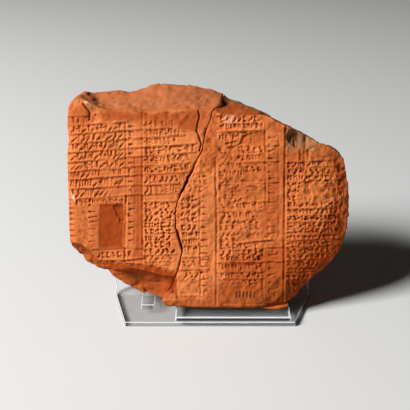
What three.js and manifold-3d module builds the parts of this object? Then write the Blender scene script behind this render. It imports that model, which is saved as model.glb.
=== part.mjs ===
// Broken clay tablet of two rejoined pieces, leaning back on a clear sheet stand.
// Millimetres, +Z up, the written face looks toward -Y.
//
// The tablet is worked out in its own frame: `a` runs across, `b` runs up the face
// and `d` is the depth behind the face. Outlines are given in hundredths of the
// tablet's width (from its middle) and height (from its foot), so they follow both.

import * as THREE from 'three';
import { mergeVertices } from 'three/addons/utils/BufferGeometryUtils.js';
import Module from 'manifold-3d';

const wasm = await Module();
wasm.setup();

// ---- Driving sizes: tablet

const TABLET_WIDTH = 179.4;
const TABLET_HEIGHT = 143.3;
const TABLET_DEPTH = 34;
const LEAN_DEGREES = 15;

const FACE_DOME = 1.6; // how far the face falls away at its corners
const BACK_DOME = 6; // the same for the back
const BACK_INSET = 5; // how far the back edge lies inside the widest line
const FOOT_INSET = 10; // the same along the foot, which is cut level when it leans
const LEFT_ROLL_WIDTH = 7; // rounding of the face toward each worn edge
const LEFT_ROLL = 3;
const RIGHT_ROLL_WIDTH = 34;
const RIGHT_ROLL = 7;
const BOTTOM_ROLL_WIDTH = 9;
const BOTTOM_ROLL = 1.5;

// ---- Driving sizes: break between the two pieces

const BREAK_GAP = 0.5; // the pieces sit this far apart where the break is tight
const BREAK_GAP_UPPER = 1.3; // added to the tight gap at its two wide places
const BREAK_GAP_LOWER = 1.2;
const BREAK_UPPER_PLACE = 57.5; // height of those places and how far they spread
const BREAK_LOWER_PLACE = 32;
const BREAK_PLACE_SPREAD = 5;
const BREAK_LEAN_TOP = 5; // sideways drift of the break through the thickness
const BREAK_LEAN_FOOT = -2;

// ---- Driving sizes: carved lines

const RULING_WIDTH = 1.3;
const RULING_DEPTH = 0.45;
const RULING_PITCH = 5.65;
const RULING_RISE = 0.068; // rise of each ruling for one millimetre across
const RULING_COUNT = 9;
const RULING_START = [-48.4, 81.6]; // left end of the highest long ruling
const LOWER_RULINGS = { from: -38.4, to: -24.2, heights: [28.2, 23.4] };
const DIVIDER_WIDTH = 1.8;
const DIVIDER_DEPTH = 0.7;
const FISSURE_WIDTH = 1.1;
const FISSURE_DEPTH = 3;
const PANEL_DEPTH = 0.7; // smooth sunk panel low in the first column
const CUT_CLEARANCE = 1; // cutters start this far in front of the face
const FLAKE_HOLE = { width: 6, height: 8, depth: 14 }; // small hole behind the top edge
const CHIP_HOLLOW = { width: 20, height: 17.2, depth: 15 }; // scoop out of the upper edge

// ---- Driving sizes: stand of clear sheet

const SHEET = 3.4;
const SEAT_GAP = 0.3; // clearance wherever two pieces touch
const FOOT_FRONT_WIDTH = 107.8;
const KNEE_WIDTH = 131; // width where the foot turns up into the plate
const PLATE_WIDTH = 135;
const PLATE_MIDDLE = 1.8; // the plate stands this far right of the foot's middle
const PLATE_WIDENING = 12; // height over which the plate reaches its full width
const PLATE_RISE = 0.66; // height of the back plate as a share of the tablet's
const PLATE_CORNER = 12;
const FOOT_FRONT = -5.5; // front edge of the foot, from the tablet's lower face edge
const BEND_RADIUS = 7;
const BEND_STEPS = 5;
const LEDGE_LEFT = -21.9;
const LEDGE_RIGHT = 51.3;
const LEDGE_BACK = 25;
const PEG_LEFT = -44.4;
const PEG_WIDTH = 8.4;
const PEG_FRONT = 8.2;
const PEG_LENGTH = 18;
const STRUT_WIDTH = 62;
const STRUT_REACH = 88; // floor line of the strut, behind the plate's lower front edge
const STRUT_RISE = 0.52; // where the strut meets the plate, as a share of the tablet's height

// ---- Mesh fineness

const ACROSS_STEPS = 20;
const UP_STEPS = 22;
const EDGE_STEPS = 3;
const BACK_EDGE_STEPS = 2;
const LINE_STEPS = 5; // straight runs in one carved line
const FLATNESS = 0.05; // faces this close to flat are merged

const COLOURS = {
  clay: { color: 0xbd6a3c, roughness: 0.88, metalness: 0 },
  clayRight: { color: 0xb4623a, roughness: 0.88, metalness: 0 },
  clear: { color: 0xcfdde2, roughness: 0.08, metalness: 0, transparent: true, opacity: 0.35 },
};

// ---- Outlines

// Left piece. `face` is the edge of the written face, `widest` the outline seen from
// the front with the depth (hundredths of the tablet's depth) at which it lies.
// `profile` gives, side by side, the curve powers outward and backward between the two,
// then the inset of the back edge and the power of the curve toward it.
const LEFT_PIECE = {
  face: {
    corners: { bl: [-49.1, 30.6], br: [10, 15], tr: [10, 87.6], tl: [-48.0, 88.9] },
    bottom: [[-46.1, 30.6], [-42.7, 27.9], [-39.6, 23.6], [-35.8, 19.3], [-31.6, 18.6],
      [-27.4, 19.1], [-20.4, 17.5], [-16.5, 16.1], [-12.3, 15.7]],
    right: [],
    top: [[-46.4, 91.6], [-43.9, 93.2], [-41.4, 91.9], [-36.9, 89.2], [-33.2, 87.9],
      [-26.1, 88.1], [-21.7, 87.0], [-12.9, 87.9], [-1.7, 88.2]],
    left: [[-49.0, 50], [-48.9, 69.5], [-48.3, 75.8], [-48.6, 82]],
  },
  widest: {
    corners: { bl: [-49.9, 27.5, 35], br: [10, 1.6, 41], tr: [10, 93.6, 79], tl: [-48.9, 90.6, 30] },
    bottom: [[-48.6, 25.0, 38], [-43.0, 18.3, 41], [-39.4, 15.6, 41], [-37.2, 14.8, 41],
      [-33.3, 10.5, 41], [-25.4, 5.1, 41], [-21.8, 4.5, 41], [-17.4, 2.3, 41]],
    right: [],
    top: [[-47.2, 94.3, 44], [-43.7, 96.4, 66], [-40.6, 96.0, 79], [-32.0, 97.7, 79],
      [-28.8, 96.9, 79], [-24.9, 97.8, 79], [-21.3, 99.5, 79], [-12.0, 100, 79],
      [-3.5, 98.8, 79], [2.9, 96.3, 79], [4.9, 94.2, 79]],
    left: [[-50, 33, 35], [-49.8, 50, 35], [-49.7, 70.5, 35], [-49.0, 76, 35], [-49.3, 82, 35]],
  },
  profile: {
    bottom: [1, 0.6, BACK_INSET, 2],
    right: [1, 1, BACK_INSET, 2],
    top: [1, 1.05, BACK_INSET, 2],
    left: [2, 1.5, BACK_INSET, 2],
  },
  middle: [-22, 56],
};

const RIGHT_PIECE = {
  face: {
    corners: { bl: [-27, 4.4], br: [26.9, 1.9], tr: [46.7, 65.4], tl: [-8, 87] },
    bottom: [[-17.2, 4.6], [-15.0, 2.7], [-12.0, 2.0], [0, 1.4], [20, 1.2]],
    right: [[30.2, 5.9], [36.0, 13.6], [41.7, 19.4], [46.1, 27.9], [48.2, 38.8],
      [48.4, 45.4], [48.1, 53], [47.5, 60]],
    top: [[1.3, 86.7], [3.7, 85.5], [11.8, 86.0], [19.0, 86.0], [22.4, 83.7], [30.0, 79.2],
      [37.0, 74.6], [43.1, 71.1], [45.6, 67.8]],
    left: [],
  },
  widest: {
    corners: { bl: [-27, 3.4, 12], br: [28.2, 0.8, 18], tr: [47.9, 64.4, 38], tl: [-8, 93.4, 79] },
    bottom: [[-16.9, 3.2, 12], [-15.7, 1.2, 12], [-12.1, 0.7, 12], [-7.1, 0.2, 12],
      [0.1, 0, 12], [19.7, 0, 12], [25.1, 0.1, 13]],
    right: [[31.6, 4.2, 38], [34.3, 8.4, 41], [39.6, 15.5, 41], [45.6, 22.7, 41],
      [49.1, 32.6, 41], [50.0, 45.4, 41], [49.7, 51.7, 41], [49.0, 58.5, 41]],
    top: [[3.3, 93.3, 79], [7.2, 92.2, 79], [10.1, 92.0, 79], [18.0, 87.8, 79],
      [25.2, 82.9, 76], [32.8, 78.4, 62], [38.3, 74.4, 50], [39.4, 73.6, 44],
      [41.8, 73.1, 40], [44.7, 71.0, 34], [46.5, 68.3, 34]],
    left: [],
  },
  profile: {
    bottom: [2, 1.5, FOOT_INSET, 1],
    right: [2, 1.5, BACK_INSET, 1.3],
    top: [1.2, 1, BACK_INSET, 2],
    left: [1, 1, BACK_INSET, 2],
  },
  middle: [18, 45],
};

// Line of the break on the face, from foot to top: [across, up].
const BREAK_LINE = [[-17.4, -20], [-17.4, 3.2], [-17.0, 5.1], [-15.5, 7.4], [-13.7, 9.9],
  [-12.7, 13.4], [-11.0, 19.8], [-9.8, 27.0], [-10.3, 30.6], [-11.8, 37.3], [-12.0, 45.3],
  [-11.4, 49.2], [-8.4, 56.7], [-5.5, 64.0], [-2.6, 72.0], [-1.4, 79.9], [1.0, 87.7],
  [2.8, 92], [3.4, 120]];

// Second, shorter crack in the left piece.
const FISSURE_LINE = [[-3.9, 88.9], [-3.7, 85.4], [-4.5, 79.5], [-3.6, 76.5], [-3.1, 74.0],
  [-3.7, 70.6]];

// Where the two lost flakes sat: [across, up, depth].
const FLAKE_PLACE = [-38.9, 93.2, 40];
const CHIP_PLACE = [31.8, 77.6, 0];

// Smooth sunk panel: its four corners.
const PANEL = [[-38.4, 28.6], [-30.4, 28.6], [-30.1, 47.6], [-38.0, 47.6]];

// Upright lines between columns: [across at the foot, up from, across at the top, up to].
const DIVIDERS = {
  left: [[-29.7, 20.5, -28.7, 87.2], [-23.7, 19.8, -22.9, 86.4]],
  right: [[2.5, 4, 2.3, 84.6], [19.7, 4, 18.8, 84.4], [26.6, 4, 25.4, 80.2]],
};

// Level lines of the right piece, set out in columns:
// [from, to, first line's height, spacing, how many, rise across, straight runs].
const RIGHT_RULINGS = [
  [2.8, 25.2, 79.1, 6.4, 12, 0.01, 2],
  [27.2, 41.5, 66.6, 4.5, 11, 0.01, 3],
];

// ---- Small helpers

const across = (hundredths) => hundredths / 100 * TABLET_WIDTH;
const up = (hundredths) => hundredths / 100 * TABLET_HEIGHT;
const deep = (hundredths) => hundredths / 100 * TABLET_DEPTH;
const mix = (from, to, share) => from + (to - from) * share;
const bump = (value, middle, spread) => Math.exp(-(((value - middle) / spread) ** 2));

// Height on a line of [x, y] pairs whose second number grows: returns x at y.
function crossing(line, y) {
  let i = 1;
  while (i < line.length - 1 && line[i][1] < y) i += 1;
  const [x0, y0] = line[i - 1];
  const [x1, y1] = line[i];
  const share = Math.min(1, Math.max(0, (y - y0) / (y1 - y0)));
  return mix(x0, x1, share);
}

// Points spaced evenly by length along a smooth curve through the given ones.
function evenPoints(points, steps) {
  const flat = points.map((p) => new THREE.Vector3(p[0], p[1], p[2] ?? 0));
  if (flat.length === 2) {
    const line = new THREE.LineCurve3(flat[0], flat[1]);
    return Array.from({ length: steps + 1 }, (_, i) => line.getPoint(i / steps));
  }
  const curve = new THREE.CatmullRomCurve3(flat, false, 'centripetal');
  curve.arcLengthDivisions = 400;
  return curve.getSpacedPoints(steps);
}

// ---- The face and back as depths behind a flat plane

const RIGHT_EDGE = [RIGHT_PIECE.widest.corners.br, ...RIGHT_PIECE.widest.right,
  RIGHT_PIECE.widest.corners.tr];

function rollOff(distance, width, depth) {
  const share = Math.max(0, 1 - distance / width);
  return depth * share * share;
}

function faceDepth(a, b) {
  const side = 2 * a / TABLET_WIDTH;
  const rise = 2 * b / TABLET_HEIGHT - 1;
  const dome = FACE_DOME * (side * side + rise * rise) / 2;
  const fromLeft = a + TABLET_WIDTH / 2;
  const fromRight = across(crossing(RIGHT_EDGE, 100 * b / TABLET_HEIGHT)) - a;
  return dome + rollOff(fromLeft, LEFT_ROLL_WIDTH, LEFT_ROLL)
    + rollOff(fromRight, RIGHT_ROLL_WIDTH, RIGHT_ROLL)
    + rollOff(b, BOTTOM_ROLL_WIDTH, BOTTOM_ROLL);
}

function backDepth(a, b) {
  const side = 2 * a / TABLET_WIDTH;
  const rise = 2 * b / TABLET_HEIGHT - 1;
  return TABLET_DEPTH - BACK_DOME * Math.min(1, (side * side + rise * rise) / 1.6);
}

// ---- One piece of the tablet: face patch, edge band, back patch

// Fills a four-sided outline: sides are lists of points, bottom and top from left to
// right, left and right from foot to top.
function fillPatch(sides) {
  const { bottom, top, left, right } = sides;
  const rows = [];
  for (let j = 0; j <= UP_STEPS; j += 1) {
    const v = j / UP_STEPS;
    const row = [];
    for (let i = 0; i <= ACROSS_STEPS; i += 1) {
      const u = i / ACROSS_STEPS;
      const between = bottom[i].clone().lerp(top[i], v).add(left[j].clone().lerp(right[j], u));
      const low = bottom[0].clone().lerp(bottom[ACROSS_STEPS], u);
      const high = top[0].clone().lerp(top[ACROSS_STEPS], u);
      row.push(between.sub(low.lerp(high, v)));
    }
    rows.push(row);
  }
  return rows;
}

function outlineSides(shape) {
  const { bl, br, tr, tl } = shape.corners;
  const inMillimetres = (p) => [across(p[0]), up(p[1]), deep(p[2] ?? 0)];
  const side = (from, between, to, steps) => {
    return evenPoints([from, ...between, to].map(inMillimetres), steps);
  };
  return {
    bottom: side(bl, shape.bottom, br, ACROSS_STEPS),
    top: side(tl, shape.top, tr, ACROSS_STEPS),
    left: side(bl, shape.left, tl, UP_STEPS),
    right: side(br, shape.right, tr, UP_STEPS),
  };
}

// Walks once round the four sides, counter-clockwise seen from the front.
function walkRound(sides) {
  return [
    ...sides.bottom.slice(0, -1),
    ...sides.right.slice(0, -1),
    ...sides.top.slice(1).reverse(),
    ...sides.left.slice(1).reverse(),
  ];
}

// The same walk taken apart again into four sides.
function sidesOf(walk) {
  const cyclic = [...walk, walk[0]];
  const corner = [0, ACROSS_STEPS, ACROSS_STEPS + UP_STEPS, 2 * ACROSS_STEPS + UP_STEPS];
  return {
    bottom: cyclic.slice(corner[0], corner[1] + 1),
    right: cyclic.slice(corner[1], corner[2] + 1),
    top: cyclic.slice(corner[2], corner[3] + 1).reverse(),
    left: cyclic.slice(corner[3]).reverse(),
  };
}

// Profile numbers for every point of that walk, eased into each other at corners.
function walkProfiles(profile) {
  const order = [
    ['bottom', ACROSS_STEPS, profile.left, profile.right],
    ['right', UP_STEPS, profile.bottom, profile.top],
    ['top', ACROSS_STEPS, profile.right, profile.left],
    ['left', UP_STEPS, profile.top, profile.bottom],
  ];
  const ease = 0.15;
  const result = [];
  for (const [name, steps, before, after] of order) {
    for (let i = 0; i < steps; i += 1) {
      const t = i / steps;
      const fromBefore = Math.max(0, 1 - t / ease) / 2;
      const fromAfter = Math.max(0, 1 - (1 - t) / ease) / 2;
      result.push([0, 1, 2, 3].map((k) => {
        const own = profile[name][k];
        return own + (before[k] - own) * fromBefore + (after[k] - own) * fromAfter;
      }));
    }
  }
  return result;
}

function pieceSolid(piece) {
  const faceSides = outlineSides(piece.face);
  const widest = walkRound(outlineSides(piece.widest));
  const profiles = walkProfiles(piece.profile);
  const middle = new THREE.Vector3(across(piece.middle[0]), up(piece.middle[1]), 0);
  const backEdge = widest.map((p, i) => {
    const inward = new THREE.Vector3(middle.x - p.x, middle.y - p.y, 0);
    inward.setLength(profiles[i][2]);
    const point = new THREE.Vector3(p.x + inward.x, p.y + inward.y, 0);
    return point.setZ(Math.max(p.z + 1, backDepth(point.x, point.y)));
  });
  const front = fillPatch(faceSides);
  front.flat().forEach((p) => p.setZ(faceDepth(p.x, p.y)));
  const back = fillPatch(sidesOf(backEdge));
  back.slice(1, -1).forEach((row) => row.slice(1, -1).forEach((p) => {
    p.setZ(backDepth(p.x, p.y));
  }));

  const vertices = [];
  const triangles = [];
  const addPoint = (p) => vertices.push(p) - 1;
  const frontIds = front.map((row) => row.map(addPoint));
  const backIds = back.map((row) => row.map(addPoint));
  const roundIds = (ids) => [
    ...ids[0].slice(0, -1),
    ...ids.slice(0, -1).map((row) => row[ACROSS_STEPS]),
    ...ids[UP_STEPS].slice(1).reverse(),
    ...ids.slice(1).map((row) => row[0]).reverse(),
  ];
  const frontRound = roundIds(frontIds);
  const backRound = roundIds(backIds);
  const rings = [frontRound];
  for (let k = 1; k <= EDGE_STEPS; k += 1) {
    const t = k / EDGE_STEPS;
    rings.push(frontRound.map((id, i) => {
      const [outPower, depthPower] = profiles[i];
      const outShare = 1 - (1 - t) ** outPower;
      const point = vertices[id].clone().lerp(widest[i], outShare);
      return addPoint(point.setZ(mix(vertices[id].z, widest[i].z, t ** depthPower)));
    }));
  }
  const widestRing = rings[EDGE_STEPS];
  for (let k = 1; k < BACK_EDGE_STEPS; k += 1) {
    const t = k / BACK_EDGE_STEPS;
    rings.push(widestRing.map((id, i) => {
      const end = vertices[backRound[i]];
      const power = profiles[i][3];
      const point = vertices[id].clone().lerp(end, t ** power);
      return addPoint(point.setZ(mix(vertices[id].z, end.z, 1 - (1 - t) ** power)));
    }));
  }
  rings.push(backRound);

  for (let j = 0; j < UP_STEPS; j += 1) {
    for (let i = 0; i < ACROSS_STEPS; i += 1) {
      const f = [frontIds[j][i], frontIds[j][i + 1], frontIds[j + 1][i + 1], frontIds[j + 1][i]];
      const r = [backIds[j][i], backIds[j][i + 1], backIds[j + 1][i + 1], backIds[j + 1][i]];
      triangles.push(f[0], f[1], f[2], f[0], f[2], f[3]);
      triangles.push(r[0], r[2], r[1], r[0], r[3], r[2]);
    }
  }
  for (let k = 0; k < rings.length - 1; k += 1) {
    const count = rings[k].length;
    for (let i = 0; i < count; i += 1) {
      const next = (i + 1) % count;
      triangles.push(rings[k][i], rings[k + 1][i], rings[k][next]);
      triangles.push(rings[k][next], rings[k + 1][i], rings[k + 1][next]);
    }
  }
  return solidFrom(vertices, triangles);
}

// ---- Solids and meshes

// Tablet-frame points go into solids as (a, b, -d), which keeps them right-handed.
function solidFrom(points, triangles) {
  const flat = points.flatMap((p) => [p.x, p.y, -p.z]);
  return new wasm.Manifold(new wasm.Mesh({
    numProp: 3,
    vertProperties: new Float32Array(flat),
    triVerts: new Uint32Array(triangles),
  }));
}

function solidFromGeometry(geometry) {
  const bare = geometry.clone();
  bare.deleteAttribute('normal');
  bare.deleteAttribute('uv');
  const merged = mergeVertices(bare, 1e-4);
  return new wasm.Manifold(new wasm.Mesh({
    numProp: 3,
    vertProperties: new Float32Array(merged.attributes.position.array),
    triVerts: new Uint32Array(merged.index.array),
  }));
}

function geometryFrom(solid) {
  const mesh = solid.getMesh();
  const geometry = new THREE.BufferGeometry();
  const positions = new Float32Array(mesh.numVert * 3);
  for (let i = 0; i < mesh.numVert; i += 1) {
    for (let k = 0; k < 3; k += 1) {
      positions[3 * i + k] = mesh.vertProperties[mesh.numProp * i + k];
    }
  }
  geometry.setAttribute('position', new THREE.BufferAttribute(positions, 3));
  geometry.setIndex(Array.from(mesh.triVerts));
  geometry.computeVertexNormals();
  return geometry;
}

// Closed loft between two outlines with the same number of corners, one in front of
// the other; both are drawn counter-clockwise seen from the front. `crossways` sets
// which way its side faces are halved, so that two lofts can share one surface.
function loft(nearOutline, farOutline, crossways = false) {
  const flatten = (outline) => outline.map((p) => new THREE.Vector2(p.x, p.y));
  const caps = THREE.ShapeUtils.triangulateShape(flatten(nearOutline), []);
  const count = nearOutline.length;
  const triangles = [];
  for (const [i, j, k] of caps) {
    triangles.push(i, j, k);
    triangles.push(count + i, count + k, count + j);
  }
  for (let i = 0; i < count; i += 1) {
    const next = (i + 1) % count;
    if (crossways) {
      triangles.push(i, count + i, count + next, i, count + next, next);
    } else {
      triangles.push(i, count + i, next, next, count + i, count + next);
    }
  }
  return solidFrom([...nearOutline, ...farOutline], triangles);
}

// ---- The break

function breakGap(upHundredths) {
  return BREAK_GAP
    + BREAK_GAP_UPPER * bump(upHundredths, BREAK_UPPER_PLACE, BREAK_PLACE_SPREAD)
    + BREAK_GAP_LOWER * bump(upHundredths, BREAK_LOWER_PLACE, BREAK_PLACE_SPREAD);
}

// Everything on one side of the break: side 1 lies right of it, side -1 left of it.
function beyondBreak(side) {
  const reach = side * TABLET_WIDTH;
  const outlineAt = (d) => {
    const line = BREAK_LINE.map(([x, y]) => {
      const share = Math.min(1, Math.max(0, y / 100));
      const drift = mix(BREAK_LEAN_FOOT, BREAK_LEAN_TOP, share) * d / TABLET_DEPTH;
      return new THREE.Vector3(across(x) + drift - side * breakGap(y) / 2, up(y), d);
    });
    const corners = [new THREE.Vector3(reach, line[0].y, d),
      new THREE.Vector3(reach, line[line.length - 1].y, d)];
    return side > 0 ? [...line.reverse(), ...corners] : [...line, corners[1], corners[0]];
  };
  return loft(outlineAt(-TABLET_DEPTH / 2), outlineAt(1.6 * TABLET_DEPTH), side > 0);
}

// ---- Carved lines, cut as shallow grooves that follow the face

function groove(points, width, depth) {
  const half = width / 2 * (depth + CUT_CLEARANCE) / depth;
  const vertices = [];
  points.forEach((p, i) => {
    const ahead = points[Math.min(i + 1, points.length - 1)];
    const behind = points[Math.max(i - 1, 0)];
    const along = new THREE.Vector2(ahead.x - behind.x, ahead.y - behind.y).normalize();
    const surface = faceDepth(p.x, p.y);
    const offset = new THREE.Vector2(-along.y, along.x).multiplyScalar(half);
    vertices.push(new THREE.Vector3(p.x + offset.x, p.y + offset.y, surface - CUT_CLEARANCE));
    vertices.push(new THREE.Vector3(p.x - offset.x, p.y - offset.y, surface - CUT_CLEARANCE));
    vertices.push(new THREE.Vector3(p.x, p.y, surface + depth));
  });
  const triangles = [0, 1, 2];
  const last = vertices.length - 3;
  triangles.push(last, last + 2, last + 1);
  for (let s = 0; s < last; s += 3) {
    for (let k = 0; k < 3; k += 1) {
      const next = (k + 1) % 3;
      triangles.push(s + k, s + 3 + k, s + next);
      triangles.push(s + next, s + 3 + k, s + 3 + next);
    }
  }
  const solid = solidFrom(vertices, triangles);
  if (solid.volume() > 0) return solid;
  const flipped = [];
  for (let i = 0; i < triangles.length; i += 3) {
    flipped.push(triangles[i], triangles[i + 2], triangles[i + 1]);
  }
  return solidFrom(vertices, flipped);
}

function straightGroove(x0, y0, x1, y1, width, depth, steps = LINE_STEPS) {
  const from = new THREE.Vector3(across(x0), up(y0), 0);
  const to = new THREE.Vector3(across(x1), up(y1), 0);
  const points = Array.from({ length: steps + 1 }, (_, i) => from.clone().lerp(to, i / steps));
  return groove(points, width, depth);
}

// Rulings of the left piece rise gently to the right and stop short of the break.
function leftRulings() {
  const cuts = [];
  const slope = RULING_RISE * TABLET_WIDTH / TABLET_HEIGHT;
  for (let i = 0; i < RULING_COUNT; i += 1) {
    const [start, highest] = RULING_START;
    const height = highest - 100 * i * RULING_PITCH / TABLET_HEIGHT;
    const end = crossing(BREAK_LINE, height + 2) - 1.2;
    const rise = (end - start) * slope;
    cuts.push(straightGroove(start, height, end, height + rise, RULING_WIDTH, RULING_DEPTH));
  }
  const { from, to, heights } = LOWER_RULINGS;
  for (const height of heights) {
    cuts.push(straightGroove(from, height, to, height, RULING_WIDTH, RULING_DEPTH, 3));
  }
  return cuts;
}

function rightRulings() {
  return RIGHT_RULINGS.flatMap(([from, to, first, spacing, count, rise, steps]) => {
    return Array.from({ length: count }, (_, i) => {
      const y = first - i * spacing;
      return straightGroove(from, y, to, y + rise * (to - from), RULING_WIDTH, RULING_DEPTH, steps);
    });
  });
}

function dividers(list) {
  return list.map(([x0, y0, x1, y1]) => {
    return straightGroove(x0, y0, x1, y1, DIVIDER_WIDTH, DIVIDER_DEPTH, LINE_STEPS);
  });
}

// Flat-floored sunk panel between four corners given in hundredths.
function sunkPanel(corners) {
  const points = corners.map(([x, y]) => new THREE.Vector3(across(x), up(y), 0));
  const centre = points.reduce((sum, p) => sum.add(p), new THREE.Vector3()).divideScalar(4);
  const floor = faceDepth(centre.x, centre.y) + PANEL_DEPTH;
  const at = (d) => points.map((p) => p.clone().setZ(d));
  return loft(at(floor - PANEL_DEPTH - 2 * CUT_CLEARANCE), at(floor));
}

// Rounded hollow left where a flake has gone.
function hollow([x, y, d], size) {
  const ball = new THREE.SphereGeometry(0.5, 12, 8);
  ball.scale(size.width, size.height, size.depth);
  ball.translate(across(x), up(y), -deep(d));
  return solidFromGeometry(ball);
}

function largestOf(solid) {
  return solid.decompose().sort((p, q) => q.volume() - p.volume())[0];
}

// ---- Tablet to stand: lean back by the given angle

const lean = LEAN_DEGREES * Math.PI / 180;
const leanTurn = new THREE.Matrix4().makeRotationX(Math.PI / 2 - lean);

function leanBack(solid, lift) {
  const turn = leanTurn.clone();
  turn.setPosition(0, 0, lift);
  return solid.transform(turn.elements.slice());
}

// Lowest height of a solid above a rectangle of floor.
function lowestOver(solid, x0, x1, y0, y1) {
  const tall = 2 * TABLET_HEIGHT;
  const column = new THREE.BoxGeometry(x1 - x0, y1 - y0, tall);
  column.translate((x0 + x1) / 2, (y0 + y1) / 2, 0);
  return solid.intersect(solidFromGeometry(column)).boundingBox().min[2];
}

const fissure = groove(evenPoints(FISSURE_LINE.map(([x, y]) => [across(x), up(y)]), 8),
  FISSURE_WIDTH, FISSURE_DEPTH);

const leftCuts = [
  beyondBreak(1),
  ...leftRulings(),
  ...dividers(DIVIDERS.left),
  fissure,
  sunkPanel(PANEL),
  hollow(FLAKE_PLACE, FLAKE_HOLE),
];
const rightCuts = [
  beyondBreak(-1),
  ...rightRulings(),
  ...dividers(DIVIDERS.right),
  hollow(CHIP_PLACE, CHIP_HOLLOW),
];

function carved(piece, cuts) {
  const body = pieceSolid(piece).simplify(FLATNESS);
  return largestOf(wasm.Manifold.difference([body, ...cuts])).simplify(FLATNESS / 10);
}

const leftFlat = carved(LEFT_PIECE, leftCuts);
const rightFlat = carved(RIGHT_PIECE, rightCuts);

// The right piece sets the height: its foot rests on the ledge.
const ledgeTop = 2 * SHEET + SEAT_GAP;
const rightUnlifted = leanBack(rightFlat, 0);
const restHeight = lowestOver(rightUnlifted, LEDGE_LEFT, LEDGE_RIGHT, FOOT_FRONT, LEDGE_BACK);
const lift = ledgeTop + SEAT_GAP - restHeight;
const leftTablet = leanBack(leftFlat, lift);
const rightTablet = leanBack(rightFlat, lift);

// ---- Stand

// Point of the tablet frame seen from the side: returns its [y, z] in the room.
function sideView(b, d) {
  return [b * Math.sin(lean) + d * Math.cos(lean), lift + b * Math.cos(lean) - d * Math.sin(lean)];
}

// Back plate and foot are one bent sheet: stations along its middle line, each with
// its own half width, give the two faces and the edge all round.
function bentSheet() {
  const middleDepth = TABLET_DEPTH + SEAT_GAP + SHEET / 2;
  const kneeB = (SHEET / 2 - lift + middleDepth * Math.sin(lean)) / Math.cos(lean);
  const knee = new THREE.Vector2(...sideView(kneeB, middleDepth));
  const turn = Math.PI / 2 - lean;
  const reach = BEND_RADIUS * Math.tan(turn / 2);
  const upward = new THREE.Vector2(Math.sin(lean), Math.cos(lean));
  const stations = [];
  const add = (y, z, angle, half, middle = PLATE_MIDDLE) => {
    stations.push({ y, z, angle, half, middle });
  };
  const footStart = knee.x - reach;
  add(FOOT_FRONT, SHEET / 2, 0, FOOT_FRONT_WIDTH / 2, 0);
  for (let i = 0; i <= BEND_STEPS; i += 1) {
    const angle = turn * i / BEND_STEPS;
    const y = footStart + BEND_RADIUS * Math.sin(angle);
    const z = SHEET / 2 + BEND_RADIUS * (1 - Math.cos(angle));
    add(y, z, angle, KNEE_WIDTH / 2);
  }
  const full = knee.clone().addScaledVector(upward, reach + PLATE_WIDENING);
  add(full.x, full.y, turn, PLATE_WIDTH / 2);
  const top = PLATE_RISE * TABLET_HEIGHT;
  const cornerSteps = 4;
  for (let i = 0; i <= cornerSteps; i += 1) {
    const swing = Math.PI / 2 * i / cornerSteps;
    const along = top - PLATE_CORNER * (1 - Math.sin(swing));
    const half = PLATE_WIDTH / 2 - PLATE_CORNER * (1 - Math.cos(swing));
    const point = knee.clone().addScaledVector(upward, along);
    add(point.x, point.y, turn, half);
  }
  const vertices = [];
  for (const { y, z, angle, half, middle } of stations) {
    const out = [-Math.sin(angle) * SHEET / 2, Math.cos(angle) * SHEET / 2];
    for (const [side, face] of [[-1, 1], [1, 1], [1, -1], [-1, -1]]) {
      const x = middle + side * half;
      vertices.push(new THREE.Vector3(x, y + face * out[0], z + face * out[1]));
    }
  }
  const indices = [0, 2, 1, 0, 3, 2];
  const last = vertices.length - 4;
  indices.push(last, last + 1, last + 2, last, last + 2, last + 3);
  for (let s = 0; s < last; s += 4) {
    for (let k = 0; k < 4; k += 1) {
      const next = (k + 1) % 4;
      indices.push(s + k, s + next, s + 4 + k);
      indices.push(s + next, s + 4 + next, s + 4 + k);
    }
  }
  const geometry = new THREE.BufferGeometry().setFromPoints(vertices);
  geometry.setIndex(indices);
  return geometry;
}

function boxBetween(x0, x1, y0, y1, z0, z1) {
  const box = new THREE.BoxGeometry(x1 - x0, y1 - y0, z1 - z0);
  return box.translate((x0 + x1) / 2, (y0 + y1) / 2, (z0 + z1) / 2);
}

// Strut behind the plate: a sheet cut level on the floor and along the plate above.
function rearStrut() {
  const backOfPlate = TABLET_DEPTH + 2 * SEAT_GAP + SHEET;
  const topPoint = new THREE.Vector2(...sideView(STRUT_RISE * TABLET_HEIGHT, backOfPlate));
  const heel = new THREE.Vector2(...sideView(0, backOfPlate));
  const floorPoint = new THREE.Vector2(heel.x + STRUT_REACH * Math.cos(lean), 0);
  const run = floorPoint.clone().sub(topPoint).normalize();
  const plateRun = new THREE.Vector2(Math.sin(lean), Math.cos(lean));
  const topCut = SHEET / Math.abs(run.cross(plateRun));
  const floorCut = SHEET / Math.abs(run.y);
  const below = topPoint.clone().addScaledVector(plateRun, -topCut);
  const outline = new THREE.Shape([
    topPoint, below, new THREE.Vector2(floorPoint.x - floorCut, 0), floorPoint,
  ]);
  const sheet = new THREE.ExtrudeGeometry(outline, { depth: STRUT_WIDTH, bevelEnabled: false });
  sheet.translate(0, 0, -STRUT_WIDTH / 2);
  const turn = new THREE.Matrix4().makeBasis(new THREE.Vector3(0, 1, 0),
    new THREE.Vector3(0, 0, 1), new THREE.Vector3(1, 0, 0));
  return sheet.applyMatrix4(turn);
}

const footTop = SHEET + SEAT_GAP;
const pegRight = PEG_LEFT + PEG_WIDTH;
const pegBack = PEG_FRONT + PEG_LENGTH;
const pegTop = lowestOver(leftTablet, PEG_LEFT, pegRight, PEG_FRONT, pegBack) - SEAT_GAP;
const ledge = boxBetween(LEDGE_LEFT, LEDGE_RIGHT, FOOT_FRONT, LEDGE_BACK, footTop, ledgeTop);
const peg = boxBetween(PEG_LEFT, pegRight, PEG_FRONT, pegBack, footTop, pegTop);

// ---- Named nodes, set down on the middle of their floor rectangle

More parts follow.
